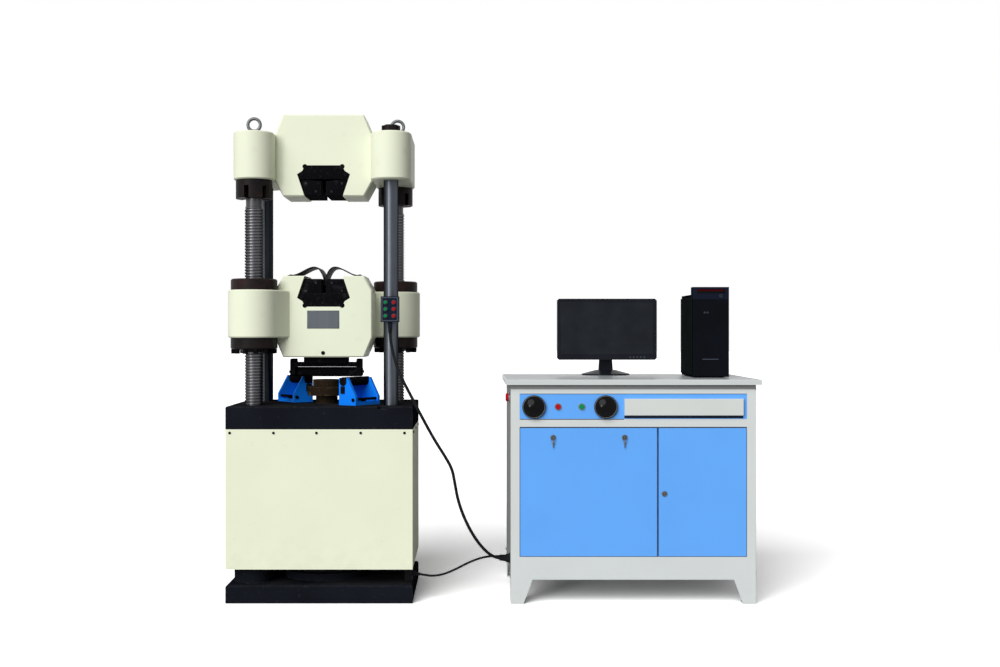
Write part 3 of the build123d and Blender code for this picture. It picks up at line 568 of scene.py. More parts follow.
def boxed(name, low, high, edge):
    """Block between two corners with its edges broken."""
    bpy.ops.object.select_all(action="DESELECT")
    middle = [(a + b) / 2 for a, b in zip(low, high)]
    bpy.ops.mesh.primitive_cube_add(size=1, location=middle)
    piece = bpy.context.object
    piece.name = name
    piece.scale = [b - a for a, b in zip(low, high)]
    bpy.ops.object.transform_apply(location=True, rotation=True, scale=True)
    edit_all()
    bpy.ops.mesh.bevel(offset=edge, segments=2, affect="EDGES")
    bpy.ops.object.mode_set(mode="OBJECT")
    return piece


def on_side(side, inner, outer):
    """The faces of a plate on one side of the middle, the lower one first."""
    return sorted((side * inner, side * outer))


small_screw = cap_screw("small_screw", 0.0055, 0.0045, 0.003, 0.0025)
for label, mouth, inward, body in (
    ("upper", upper_mouth, 1, "moving_frame"), ("lower", lower_mouth, -1, "crosshead"),
):
    outline = [(x, mouth + inward * depth) for x, depth in plate_outline]
    retainers = []
    for facing in (1, -1):
        near, far = on_side(-facing, retainer_back, retainer_front)
        retainers.append(plate("retainer", outline, near, far, retainer_edge))
        if facing < 0:
            for left, right, start, end in window_bars:
                low, high = sorted((mouth + inward * start, mouth + inward * end))
                retainers.append(boxed("window_bar", (left, near, low), (right, far, high), retainer_edge))
        for x, depth in plate_screws:
            place = (x, (screw_sink - retainer_front) * facing, mouth + inward * depth)
            retainers.append(copy_piece(small_screw, place, (90 * facing, 0, 0)))
    hand_over(label + "_slot_retainers", retainers, black_steel, body)

# Jaws: hardened wedges, blackened, that slide in the crossheads' slots.
# A serrated insert faces the specimen, and a keeper plate with two screws holds it at each end.
dress(black_steel, "upper_jaw_left", "upper_jaw_right", "lower_jaw_left", "lower_jaw_right")
jaw_face = 0.0085
jaw_height = 0.072
jaw_crown_drop = 0.012
slot_half_width = 0.078
slot_slope = 1 / 3
rack_half_length = 0.09
rack_back = jaw_face + 0.0015
tooth_pitch = 0.004
tooth_height = 0.0012
keeper_near = jaw_face + 0.012
keeper_back = 0.0998
keeper_front = 0.1022
flush_seat = 0.1021
worn_steel = blackened("worn_tool_steel", (0.012, 0.012, 0.013), (0.16, 0.16, 0.165), 0.4)
flush_screw = cap_screw("flush_screw", 0.0045, 0.0009, 0.0026, 0.0005)
for level, mouth, inward, inset in (("upper", upper_mouth, 1, 0.004), ("lower", lower_mouth, -1, 0.012)):
    deep_end = inset + jaw_height
    keeper_low = inset + 0.006
    keeper_high = deep_end - 0.008
    keeper_outline = [
        (keeper_near, keeper_low),
        (slot_half_width + slot_slope * keeper_low - 0.012, keeper_low),
        (slot_half_width + slot_slope * keeper_high - 0.014, keeper_high),
        (keeper_near, deep_end - jaw_crown_drop - 0.006),
    ]
    bottom = inset + 0.004
    teeth = int((jaw_height - jaw_crown_drop - 0.008) / tooth_pitch)
    rack_outline = [(rack_back, bottom)]
    for tooth in range(teeth):
        rack_outline.append((jaw_face, bottom + tooth * tooth_pitch))
        rack_outline.append((jaw_face - tooth_height, bottom + (tooth + 0.5) * tooth_pitch))
    rack_outline.append((jaw_face, bottom + teeth * tooth_pitch))
    rack_outline.append((rack_back, bottom + teeth * tooth_pitch))
    for label, side in (("left", -1), ("right", 1)):
        rack_line = [(side * x, mouth + inward * depth) for x, depth in rack_outline]
        keeper_line = [(side * x, mouth + inward * depth) for x, depth in keeper_outline]
        fittings = [coat(plate("rack", rack_line, -rack_half_length, rack_half_length, 0), worn_steel)]
        for facing in (1, -1):
            near, far = on_side(-facing, keeper_back, keeper_front)
            fittings.append(coat(plate("keeper", keeper_line, near, far, 0.0006), black_steel))
            for x, depth in ((0.032, inset + 0.016), (0.074, deep_end - 0.022)):
                place = (side * x, -flush_seat * facing, mouth + inward * depth)
                fittings.append(coat(copy_piece(flush_screw, place, (90 * facing, 0, 0)), worn_steel))
        name = f"{level}_jaw_{label}"
        hand_over(name + "_fittings", fittings, None, name)
bpy.data.objects.remove(flush_screw)


# Guide nuts and column nuts: slotted rings of oiled cast iron under and on the top crosshead.
# The dust rings and bearing covers of the lower crosshead are of the same brown-black iron.
def oiled_iron(name, colour, rust):
    """Turned iron under old oil: brown in places, with a grain from the casting."""
    material, place = new_finish(name)
    patch = place.noise(20, 5)
    return set_shader(material, {
        "Base Color": patch.between(0.4, 0.7).colour(colour, rust),
        "Metallic": 0.1,
        "Specular IOR Level": 0.06,
        "Roughness": 0.46 + (patch - 0.5) * 0.25,
        "Normal": place.noise(240, 3).bump(0.12, 0.001),
    })


brown_iron = oiled_iron("oiled_brown_iron", (0.014, 0.0105, 0.0105), (0.032, 0.017, 0.015))
black_iron = oiled_iron("oiled_black_iron", (0.0085, 0.0075, 0.0078), (0.018, 0.012, 0.0115))
dress(black_iron, "guide_nuts", "nut_covers", "column_nuts")
dress(brown_iron, "screw_seals")
cover_bottom = 1.004
cover_screw_circle = 0.081
cover_screw_count = 12
cover_screw = cap_screw("cover_screw", 0.0105, 0.018, 0.0055, 0.009)
cover_screws = []
for x, y in screw_places:
    for count in range(cover_screw_count):
        angle = 2 * math.pi * (count + 0.5) / cover_screw_count
        out, along = cover_screw_circle * math.cos(angle), cover_screw_circle * math.sin(angle)
        cover_screws.append(copy_piece(cover_screw, (x + out, y + along, cover_bottom), (180, 0, 0)))
bpy.data.objects.remove(cover_screw)
hand_over("cover_screws", cover_screws, black_steel, "crosshead")

# Eye bolts: forged steel eyes with a collar, zinc-plated against rust.
# They are screwed into the top crosshead, which is lifted by them.
plated_steel = turned_steel("plated_steel", (0.12, 0.126, 0.133), 0.3, streaks=80, metal=0.6)
dress(plated_steel, "eye_bolts")


# Jaw guards: two bent rubber strips, screwed to the casting, that keep scale out of the lower jaws.
# Their thin ends curl over and hang in the gap between the jaws.
def rubber(name, colour, bloom):
    """Moulded rubber: matt, with a pale bloom in patches."""
    material, place = new_finish(name)
    patch = place.noise(22, 5)
    return set_shader(material, {
        "Base Color": (patch.between(0.5, 0.8) * 0.5).colour(colour, bloom),
        "Specular IOR Level": 0.05,
        "Roughness": 0.55 + (patch - 0.5) * 0.2,
        "Normal": place.noise(600, 2).bump(0.1, 0.0006),
    })


guard_rubber = rubber("guard_rubber", (0.008, 0.008, 0.009), (0.05, 0.052, 0.056))
guard_half_width = 0.075
guard_smoothing = 60
guard_line = [
    (0.152, 1.304), (0.136, 1.3042), (0.118, 1.3075), (0.100, 1.3155), (0.080, 1.3265), (0.062, 1.3355),
    (0.048, 1.3395), (0.036, 1.3392), (0.0255, 1.3338), (0.0178, 1.3250), (0.0122, 1.3145),
]
flap_line = [
    (0.0131, 1.3163), (0.0112, 1.3122), (0.0082, 1.3055), (0.0050, 1.2965), (0.0034, 1.2890),
    (0.0027, 1.2790), (0.0025, 1.2660),
]


def guard_sheet(name, line, side, thickness):
    """Sheet of rubber along a line in X and Z, across the jaws' width."""
    sheet = traced(name, [(side * x, -guard_half_width, z) for x, z in line])
    edit_all()
    extrude((0, 2 * guard_half_width, 0))
    face_outwards()
    apply_modifier(sheet, "SOLIDIFY", thickness=thickness, offset=0)
    break_edges(sheet, 0.0008, 50)
    apply_modifier(sheet, "SUBSURF", levels=2, render_levels=2)
    return sheet


guards = []
flaps = []
for side in (-1, 1):
    guards.append(guard_sheet("guard", guard_line, side, 0.005))
    flaps.append(guard_sheet("flap", flap_line, side, 0.004))
    for y in (-0.05, 0.05):
        guards.append(copy_piece(small_screw, (side * 0.142, y, 1.3055)))
guards = hand_over("guard_strips", guards, guard_rubber, "crosshead", guard_smoothing)
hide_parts("jaw_guards")
flaps = hand_over("guard_flaps", flaps, guard_rubber, "crosshead", guard_smoothing)
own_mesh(flaps)


# Nameplate and plug on the lower crosshead: an etched plate held by four rivets, left bare.
# The plug closes the oil hole in the casting.
def sink_face(piece, facing, border, depth):
    """Insets the largest face that looks one way and pushes it in."""
    def faces_it(face):
        return sum(a * b for a, b in zip(face.normal, facing)) > 0.99

    largest = max(face.area for face in piece.data.polygons if faces_it(face))
    pick(piece)
    edit_some(piece.data.polygons, "FACE", lambda face: face.area > 0.99 * largest and faces_it(face))
    bpy.ops.mesh.inset(thickness=border, depth=0)
    bpy.ops.mesh.inset(thickness=0.0004, depth=-depth)
    bpy.ops.object.mode_set(mode="OBJECT")
    return piece


etched_plate = turned_steel("etched_plate", (0.085, 0.097, 0.116), 0.42, streaks=30, metal=0.1)
casting_front = -0.1099
nameplate_front = -0.1116
rivet_seat = -0.1113
nameplate = boxed("nameplate", (-0.067, nameplate_front, 1.087), (0.064, casting_front, 1.1605), 0.0006)
sink_face(nameplate, (0, -1, 0), 0.004, 0.0005)
rivet = turned("rivet", [(0.003, 0), (0.0029, 0.0006), (0.0021, 0.0013), (0.0009, 0.0016)], 16)
rivets = [
    copy_piece(rivet, (x, rivet_seat, z), (90, 0, 0)) for x in (-0.0625, 0.0595) for z in (1.0915, 1.156)
]
bpy.data.objects.remove(rivet)
hand_over("nameplate", [nameplate] + rivets, etched_plate, "crosshead")
plug = place_piece(cap_screw("plug", 0.0078, 0.003, 0.004, 0.0025), (-0.002, casting_front, 0.988), (90, 0, 0))
hand_over("oil_plug", [plug], black_steel, "crosshead")

# Bending head: a welded yoke under the lower crosshead with a hardened roller.
# Keeper plates on its cheeks hold the roller's pin, and socket screws hold the yoke's beam.
dress(black_steel, "bend_head", "bend_head_roller")
head_cheek = 0.1462
head_keeper = 0.1495
head_roller_z = 0.908
head_beam_face = 0.0448
head_fittings = []
for side in (-1, 1):
    low, high = on_side(side, head_cheek, head_keeper)
    bottom, top = head_roller_z - 0.015, head_roller_z + 0.015
    head_fittings.append(boxed("keeper", (low, -0.024, bottom), (high, 0.024, top), 0.0008))
    for y in (-0.017, 0.017):
        place = (side * (head_keeper - screw_sink), y, head_roller_z)
        head_fittings.append(copy_piece(small_screw, place, (0, 90 * side, 0)))
for x in (-0.118, -0.1, 0.1, 0.118):
    for facing in (1, -1):
        place = (x, -head_beam_face * facing, 0.939)
        head_fittings.append(copy_piece(small_screw, place, (90 * facing, 0, 0)))
hand_over("bend_head_fittings", head_fittings, black_steel, "crosshead")

# Platen and its pedestal: turned from bronze and steel, and set in the middle of the table.
# They are brown with old oil, and worn bright where specimens stand.
worn_bronze = blackened("worn_bronze", (0.02, 0.0135, 0.0085), (0.26, 0.19, 0.12), 0.34)
dress(worn_bronze, "platen_base", "platen")

# Bending supports: welded cheeks on a floor plate, sprayed bright blue, with loose rollers.
# Black keepers hold the rollers' ends, a tie joins the toes and a bolt holds each support down.
support_blue = sprayed_paint(
    "support_blue_paint", (0.006, 0.21, 0.92), (0.008, 0.05, 0.2), 0.3, peel=380, fade=(0.7, 0.80)
)
dress(support_blue, "bend_support_left", "bend_support_right")
dress(black_steel, "bend_roller_left", "bend_roller_right")
support_places = {"left": ((-0.147, 0.105, 0.778), 215), "right": ((0.147, -0.112, 0.778), -35)}
cheek_face = 0.0758
support_keeper = 0.0792
toe_x = 0.032
for label, (place, turn) in support_places.items():
    fittings = []
    for side in (-1, 1):
        outward = (-90 * side, 0, 0)
        low, high = on_side(side, cheek_face, support_keeper)
        fittings.append(boxed("keeper", (-0.034, low, 0.046), (-0.012, high, 0.076), 0.0012))
        for z in (0.053, 0.069):
            fittings.append(copy_piece(small_screw, (-0.023, side * (support_keeper - screw_sink), z), outward))
        pin = turned("pin", [(0.006, 0), (0.0075, 0.0012), (0.0075, 0.0035), (0.006, 0.0045)], 20)
        fittings.append(place_piece(pin, (toe_x, side * cheek_face, 0.022), outward))
    fittings.append(place_piece(cap_screw("floor_bolt", 0.011, 0.011, 0.006, 0.006), (0.02, 0, 0.014)))
    tie = turned("tie", [(0.0055, -0.064), (0.0055, 0.064)], 20)
    fittings.append(place_piece(tie, (toe_x, 0, 0.024), (90, 0, 0)))
    name = "bend_support_fittings_" + label
    fittings = place_piece(join_pieces(name, fittings), place, (0, 0, turn))
    hand_over(name, [fittings], black_steel, "moving_frame")


# Hand control: a moulded box strapped to the front column, with three green and three red buttons.
# A lighter rim is glued round its face, and each button sits in a collar.
def moulded(name, colour, roughness, grain, gloss=0.03):
    """Moulded plastic: fine grain, a little uneven in gloss."""
    material, place = new_finish(name)
    cloud = place.noise(12, 4)
    return set_shader(material, {
        "Base Color": cloud.between(0.35, 0.7).colour(tint(colour, 0.85), tint(colour, 1.2)),
        "Specular IOR Level": gloss,
        "Roughness": roughness + (cloud - 0.5) * 0.14,
        "Normal": place.noise(grain, 2).bump(0.08, 0.0005),
    })


navy_plastic = moulded("navy_plastic", (0.010, 0.014, 0.03), 0.42, 900)
green_plastic = moulded("green_button_plastic", (0.003, 0.22, 0.075), 0.25, 500, 0.12)
red_plastic = moulded("red_button_plastic", (0.42, 0.006, 0.012), 0.25, 500, 0.12)
dress(navy_plastic, "pendant_box")
for count in (1, 2, 3):
    dress(green_plastic, f"pendant_button_green_{count}")
    dress(red_plastic, f"pendant_button_red_{count}")


def ring(name, section, sides=40):
    """Ring round Z: a closed section in X and Z, spun once round."""
    piece = traced(name, [(r, 0, z) for r, z in section + section[:1]])
    edit_all()
    bpy.ops.mesh.remove_doubles(threshold=1e-6)
    bpy.ops.mesh.spin(steps=sides, angle=2 * math.pi, center=(0, 0, 0), axis=(0, 0, 1))
    bpy.ops.mesh.select_all(action="SELECT")
    bpy.ops.mesh.remove_doubles(threshold=1e-6)
    face_outwards()
    return piece


slate_plastic = moulded("slate_plastic", (0.07, 0.085, 0.11), 0.4, 700)
pendant_rim = boxed("rim", (0.244, -0.2203, 1.1155), (0.310, -0.2188, 1.2125), 0.0005)
edit_some(pendant_rim.data.polygons, "FACE", lambda face: abs(face.normal.y) > 0.99)
bpy.ops.mesh.inset(thickness=0.004, depth=0)
bpy.ops.mesh.bridge_edge_loops()
bpy.ops.object.mode_set(mode="OBJECT")
pendant_face = -0.219
collar = ring("collar", [(0.0076, 0), (0.0096, 0), (0.0096, 0.001), (0.009, 0.0016), (0.0076, 0.0016)])
pendant_trim = [pendant_rim]
for x in (0.2605, 0.2935):
    for z in (1.137, 1.164, 1.191):
        pendant_trim.append(copy_piece(collar, (x, pendant_face, z), (90, 0, 0)))
bpy.data.objects.remove(collar)
hand_over("pendant_trim", pendant_trim, slate_plastic, "moving_frame")
strap_section = [(0.0302, -0.005), (0.0322, -0.005), (0.0326, 0), (0.0322, 0.005), (0.0302, 0.005)]
strap = ring("strap", strap_section, 48)
straps = [copy_piece(strap, (0.277, -0.14, z)) for z in (1.131, 1.197)]
bpy.data.objects.remove(strap)
hand_over("pendant_straps", straps, plated_steel, "moving_frame")

# Cabinet: folded sheet on four splayed feet, sprayed off-white, with a laminated desk top.
# Cover sheets are screwed to its sides and back, with louvers in the back and the right side;
# their mid grey is painted shade on the cabinet's sides, and a strip of that grey under the desk is the desk's
# painted shadow.
cabinet_white = sprayed_paint(
    "cabinet_white_paint", (0.655, 0.69, 0.68), (0.38, 0.37, 0.34), 0.42, peel=460, fade=(0.0, 0.12)
)
dress(cabinet_white, "cabinet_shell")
# Mid grey for the cover sheets: painted shade standing for the shade on the cabinet's sides.
shade_grey = sprayed_paint(
    "painted_shade_grey_paint", (0.26, 0.265, 0.26), (0.11, 0.11, 0.105), 0.65, peel=460, fade=(0.0, 0.12)
)
cover_left = 0.7566
cover_right = 1.7264
cover_rear = 0.3164
cover_sheet = 0.0018
cover_edge = 0.0006
cover_sink = 0.0006
cover_top = 0.8645
louver_pitch = 0.022
covers = []
for low, high, facing in (
    ((cover_left, -0.262, 0.100), (cover_left + cover_sheet, 0.312, cover_top), (-1, 0, 0)),
    ((cover_right - cover_sheet, -0.262, 0.100), (cover_right, 0.312, cover_top), (1, 0, 0)),
    ((0.775, cover_rear - cover_sheet, 0.115), (1.708, cover_rear, cover_top), (0, 1, 0)),
):
    covers.append(sink_face(boxed("cover", low, high, cover_edge), facing, 0.03, cover_sink))
# Grey strip under the desk's edge: the desk's painted shadow.
covers.append(boxed("desk_shadow_strip", (0.7572, -0.2662, 0.847), (1.7258, -0.2644, cover_top), cover_edge))
louver_section = [(-0.0004, 0), (0.0055, -0.009), (0.0055, -0.0105), (0.0045, -0.0105), (-0.0004, -0.003)]
louver = plate("louver", louver_section, -0.06, 0.06, 0.0004)
for row in range(8):
    drop = louver_pitch * row
    for x in (0.95, 1.12, 1.36, 1.53):
        covers.append(copy_piece(louver, (x, cover_rear - cover_sink, 0.70 - drop), (0, 0, 90)))
    covers.append(copy_piece(louver, (cover_right - cover_sink, 0.18, 0.36 - drop)))
bpy.data.objects.remove(louver)
for z in (0.118, 0.846):
    for y in (-0.245, 0.025, 0.295):
        covers.append(copy_piece(small_screw, (cover_left + screw_sink, y, z), (0, -90, 0)))
        covers.append(copy_piece(small_screw, (cover_right - screw_sink, y, z), (0, 90, 0)))
    for x in (0.79, 1.24, 1.69):
        covers.append(copy_piece(small_screw, (x, cover_rear - screw_sink, z + 0.014), (-90, 0, 0)))
bpy.data.objects.remove(small_screw)
hand_over("cabinet_covers", covers, shade_grey, "base")


def laminate(name, band, face):
    """Desk laminate: a grey face with fine flecks and finger marks, and a pale edge band."""
    material, place = new_finish(name)
    flecks = place.noise(900, 2).between(0.58, 0.66)
    flecked = (flecks * 0.35).colour(face, tint(face, 0.8))
    return set_shader(material, {
        "Base Color": place.normal().axis("Z").between(0.8, 0.9).colour(band, flecked),
        "Roughness": 0.36 + (place.noise(14, 5) - 0.5) * 0.2,
        "Normal": flecks.bump(0.03, 0.0003),
    })


dress(laminate("desk_laminate", (0.575, 0.605, 0.60), (0.352, 0.373, 0.383)), "cabinet_top")

# Control panel: a blue sheet with two valve knobs and two push buttons.
# The knobs are gloss black with a turned trim ring, the push buttons sit in plated bezels.
cabinet_blue = sprayed_paint(
    "cabinet_blue_paint", (0.135, 0.41, 0.95), (0.10, 0.25, 0.55), 0.38, peel=460, fade=(0.1, 0.24)
)
dress(cabinet_blue, "control_panel", "left_door", "right_door")
gloss_black = moulded("gloss_black_plastic", (0.0012, 0.0012, 0.0016), 0.1, 250, 0.1)
dress(gloss_black, "delivery_knob", "return_knob")
dress(green_plastic, "start_button")
dress(red_plastic, "stop_button", "power_switch")
panel_front = -0.265
shade_strip_back = panel_front + 0.0005
shade_strip_front = panel_front - 0.0008
knob_z = 0.778
knob_places = {"delivery_knob": 0.849, "return_knob": 1.132}
knob_section = [(0.0415, -0.001), (0.0442, -0.001), (0.0442, 0.0008), (0.0425, 0.0012), (0.0415, 0.0008)]
knob_trim = ring("knob_trim", knob_section, 64)
for name, x in knob_places.items():
    trim = copy_piece(knob_trim, (x, -0.28, knob_z), (90, 0, 0))
    hand_over(name + "_trim", [trim], dark_steel, name)
bpy.data.objects.remove(knob_trim)
bright_plating = turned_steel("bright_plating", (0.30, 0.315, 0.335), 0.25, streaks=80, metal=0.7)
bezel = ring("bezel", [(0.0116, 0), (0.0148, 0), (0.0145, 0.0018), (0.0134, 0.003), (0.0116, 0.003)], 48)
bezels = [copy_piece(bezel, (x, panel_front, knob_z), (90, 0, 0)) for x in (0.945, 1.038)]
bpy.data.objects.remove(bezel)
hand_over("button_bezels", bezels, bright_plating, "base")
switch_section = [(0.0105, 0), (0.0205, 0), (0.0205, 0.004), (0.0185, 0.006), (0.0105, 0.006)]
switch_ring = place_piece(ring("switch_ring", switch_section, 48), (cover_left, -0.2, 0.812), (0, -90, 0))
hand_over("switch_ring", [switch_ring], bright_plating, "base")
# Dark navy strips, painted shade: under the drawer front they stand for its shadow, and along the doors' top
# and the panel's bottom and top for the dark of the gaps.
shadow_navy = moulded("navy_shade_strip", (0.016, 0.024, 0.045), 0.5, 500)
shade_strips = [boxed("trim", (1.206, -0.2664, 0.7325), (1.675, shade_strip_back, 0.7432), 0.0004)]
for right, bottom, top in ((1.6895, 0.6954, 0.6988), (1.2055, 0.7272, 0.7296), (1.6895, 0.8282, 0.8298)):
    shade_strips.append(boxed("trim", (0.7935, shade_strip_front, bottom), (right, shade_strip_back, top), 0.0003))
hand_over("panel_shade_strips", shade_strips, shadow_navy, "base")

# Door edges: thin dark navy strips on the doors' rims, painted shade that stands for the dark of the gaps round
# the doors.
# They run down both sides and along the bottom, and each strip swings with its door.
gap_shade_width = 0.0015
gap_shade_proud = 0.0004
for name in ("left_door", "right_door"):
    (left, face, bottom), (right, _, top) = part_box(name)
    front, back = face - gap_shade_proud, face + gap_shade_proud
    gap_shading = [
        boxed("gap_shade", (left, front, bottom), (left + gap_shade_width, back, top), 0.0002),
        boxed("gap_shade", (right - gap_shade_width, front, bottom), (right, back, top), 0.0002),
        boxed("gap_shade", (left, front, bottom), (right, back, bottom + gap_shade_width), 0.0002),
    ]
    hand_over(name + "_edging", gap_shading, shadow_navy, name)

# Drawer: an ivory front on a folded sheet tray, for the keyboard.
# It is sprayed like the cabinet and slides on two runners.
drawer_ivory = sprayed_paint(
    "drawer_paint", (0.65, 0.68, 0.655), (0.40, 0.39, 0.35), 0.4, peel=460, fade=(0.7, 0.745)
)
dress(drawer_ivory, "drawer")

# Locks: plated cam locks in the doors, each with a turned rim round its barrel.
# The keys of the left door hang from its two locks.
dress(dark_steel, "left_lock_1", "left_lock_2", "right_lock")
lock_front = -0.268
lock_places = (
    ("left_lock_1", 0.925, 0.657, True),
    ("left_lock_2", 1.207, 0.657, True),
    ("right_lock", 1.3642, 0.435, False),
)
rim_section = [(0.0078, -0.0004), (0.0106, -0.0004), (0.0102, 0.0008), (0.0086, 0.0012), (0.0078, 0.0008)]
lock_rim = ring("lock_rim", rim_section)
key_outline = [
    (-0.0035, -0.0135), (-0.0046, -0.018), (-0.0046, -0.024), (-0.002, -0.028), (-0.002, -0.040), (0, -0.042),
    (0.002, -0.040), (0.002, -0.028), (0.0046, -0.024), (0.0046, -0.018), (0.0035, -0.0135),
]
key_ring = ring("key_ring", [(0.0082, -0.0006), (0.0096, -0.0006), (0.0096, 0.0006), (0.0082, 0.0006)], 32)
for name, x, z, keyed in lock_places:
    furniture = [
        copy_piece(lock_rim, (0, 0, 0), (90, 0, 0)),
        boxed("keyway", (-0.0009, -0.0006, -0.005), (0.0009, 0.001, 0.005), 0.0003),
    ]
    if keyed:
        furniture.append(plate("key", key_outline, -0.0052, -0.0034, 0.0004))
        furniture.append(copy_piece(key_ring, (0, -0.0043, -0.0075), (90, 0, 0)))
        furniture.append(boxed("bow", (-0.001, -0.0075, -0.006), (0.001, 0.0004, 0.006), 0.0004))
    furniture = place_piece(join_pieces(name + "_furniture", furniture), (x, lock_front, z))
    hand_over(name + "_furniture", [furniture], plated_steel, name)
bpy.data.objects.remove(lock_rim)
bpy.data.objects.remove(key_ring)

# Hydraulic unit behind the left door: a welded oil tank with a finned motor and pump on its lid.
# Steel pipes join the tank to the valves behind the two knobs.
tank_grey = sprayed_paint(
    "tank_grey_paint", (0.24, 0.28, 0.30), (0.06, 0.05, 0.04), 0.36, peel=420, fade=(0.1, 0.2)
)
motor_green = casting_paint("motor_green_paint", (0.035, 0.085, 0.075), (0.03, 0.025, 0.02))
dress(tank_grey, "oil_tank")
dress(motor_green, "pump_motor")
motor_axis = (0.0, 0.54)
fin_start = 0.870
fin_pitch = 0.0165
fin = ring("fin", [(0.084, -0.0016), (0.094, -0.001), (0.094, 0.001), (0.084, 0.0016)], 48)
cowl = ring("cowl", [(0.069, 0), (0.083, 0), (0.083, 0.034), (0.076, 0.044), (0.069, 0.044), (0.071, 0.04)], 48)
motor_fittings = [
    copy_piece(fin, (fin_start + fin_pitch * count, *motor_axis), (0, 90, 0)) for count in range(13)
]
bpy.data.objects.remove(fin)
motor_fittings += [
    place_piece(cowl, (0.838, *motor_axis), (0, -90, 0)),
    boxed("terminal_box", (0.925, -0.055, 0.618), (1.025, 0.055, 0.676), 0.004),
    boxed("box_lid", (0.921, -0.059, 0.674), (1.029, 0.059, 0.682), 0.002),
]
hand_over("motor_fittings", motor_fittings, motor_green, "base")
tank_lid_top = 0.44
breather_profile = [(0.024, 0), (0.034, 0.004), (0.034, 0.016), (0.030, 0.022), (0.012, 0.024)]
valve_profile = [(0.022, 0), (0.03, 0.003), (0.03, 0.05), (0.022, 0.056), (0.022, 0.08), (0.018, 0.084)]
pipe_profile = [(0.013, 0), (0.013, 0.014), (0.008, 0.016), (0.008, 0.29), (0.013, 0.292), (0.013, 0.32)]
plumbing = [place_piece(turned("breather", breather_profile, 40), (1.2302, -0.13, 0.4655))]
for x in knob_places.values():
    plumbing.append(place_piece(turned("valve", valve_profile, 32), (x, -0.25, knob_z), (-90, 0, 0)))
    plumbing.append(place_piece(turned("pipe", pipe_profile, 24), (x, -0.182, tank_lid_top)))
gauge = boxed("gauge", (0.862, -0.1965, 0.20), (0.886, -0.1895, 0.36), 0.003)
plumbing.append(sink_face(gauge, (0, -1, 0), 0.005, 0.002))
hand_over("tank_plumbing", plumbing, plated_steel, "base")

# Screen: a gloss black moulding on an oval foot, with a matt grey panel set into its frame.
# Five keys stand on its lower edge, and vents and a socket block are on its back.
screen_black = moulded("screen_black_plastic", (0.0095, 0.0105, 0.0155), 0.24, 250, 0.06)
dress(screen_black, "monitor_head", "monitor_stand")
panel_grey = moulded("screen_panel", (0.0155, 0.0178, 0.0222), 0.32, 1200)
glass = boxed("glass", (0.9851, 0.1688, 0.9756), (1.3849, 0.1702, 1.2014), 0.0004)
sink_face(glass, (0, -1, 0), 0.004, 0.0003)
hand_over("screen_panel", [glass], panel_grey, "monitor_head")
screen_back = 0.1895
key_start, key_pitch = 1.285, 0.0152
rib_start, rib_pitch = 1.065, 0.012
key = turned("key", [(0.0028, -0.0006), (0.0028, 0.0004), (0.002, 0.0008)], 20)
screen_fittings = [
    copy_piece(key, (key_start + key_pitch * count, 0.168, 0.9645), (90, 0, 0)) for count in range(5)
]
bpy.data.objects.remove(key)
for count in range(21):
    x = rib_start + rib_pitch * count
    screen_fittings.append(boxed("rib", (x, screen_back, 1.150), (x + 0.005, 0.1912, 1.196), 0.0006))
socket_block = boxed("socket_block", (1.11, screen_back, 0.968), (1.26, 0.1945, 0.992), 0.0012)
screen_fittings.append(sink_face(socket_block, (0, 1, 0), 0.004, 0.0025))
hand_over("screen_fittings", screen_fittings, slate_plastic, "monitor_head")

# Computer: a black sheet case with a moulded front that stands taller than the case.
# The drive's lid lies in the front's mouth under a red strip; sockets and a fan grille are behind.
case_black = moulded("case_black_plastic", (0.009, 0.0125, 0.012), 0.5, 800, 0.0)
case_front = -0.099
case_back = 0.2005
head_bottom = 1.207
head_back = -0.045
head_seam = 0.0004
mouth_left, mouth_right, mouth_back = 1.5275, 1.6355, -0.0888
slot_start, slot_pitch = 1.005, 0.016


def two_tone(name, lower, upper):
    """Moulded front whose head, above its seam, is of another colour than the case."""
    material, place = new_finish(name)
    above = place.axis("Z").between(head_bottom, head_bottom + head_seam)
    head = above * (1 - place.axis("Y").between(head_back, head_back + head_seam))
    cloud = place.noise(12, 4)
    return set_shader(material, {
        "Base Color": (cloud.between(0.35, 0.7) * 0.25).colour(head.colour(lower, upper), upper),
        "Specular IOR Level": 0.0,
        "Roughness": 0.5 - head * 0.14 + (cloud - 0.5) * 0.14,
        "Normal": place.noise(800, 2).bump(0.08, 0.0005),
    })


dress(two_tone("case_plastic", (0.0055, 0.006, 0.0075), (0.010, 0.0125, 0.024)), "pc_case")
lid = boxed("drive_lid", (mouth_left, -0.0935, 1.2325), (mouth_right, mouth_back, 1.2398), 0.001)
side_sheet = boxed("side_sheet", (1.5066, -0.066, 0.897), (1.5084, 0.195, 1.215), 0.0006)
sink_face(side_sheet, (-1, 0, 0), 0.012, 0.0005)
hand_over("case_sheets", [lid, side_sheet], case_black, "base")
power_ring = ring("power_ring", [(0.0040, -0.0004), (0.0058, -0.0004), (0.0056, 0.0008), (0.0044, 0.001)], 32)
jack = ring("jack", [(0.0018, -0.0004), (0.0036, -0.0004), (0.0034, 0.0006), (0.0018, 0.0006)], 24)
socket_plate = boxed("socket_plate", (1.525, case_back, 1.075), (1.570, 0.2022, 1.19), 0.0006)
supply = boxed("supply", (1.520, case_back, 0.905), (1.645, 0.2022, 0.985), 0.0006)
case_fittings = [
    place_piece(power_ring, (1.6208, case_front, 1.2205), (90, 0, 0)),
    copy_piece(jack, (1.554, case_front, 1.1525), (90, 0, 0)),
    copy_piece(jack, (1.566, case_front, 1.1525), (90, 0, 0)),
    boxed("inlet", (1.545, -0.0997, 0.9605), (1.611, -0.0985, 0.9630), 0.0004),
    sink_face(socket_plate, (0, 1, 0), 0.004, 0.001),
    sink_face(supply, (0, 1, 0), 0.006, 0.0006),
]
bpy.data.objects.remove(jack)
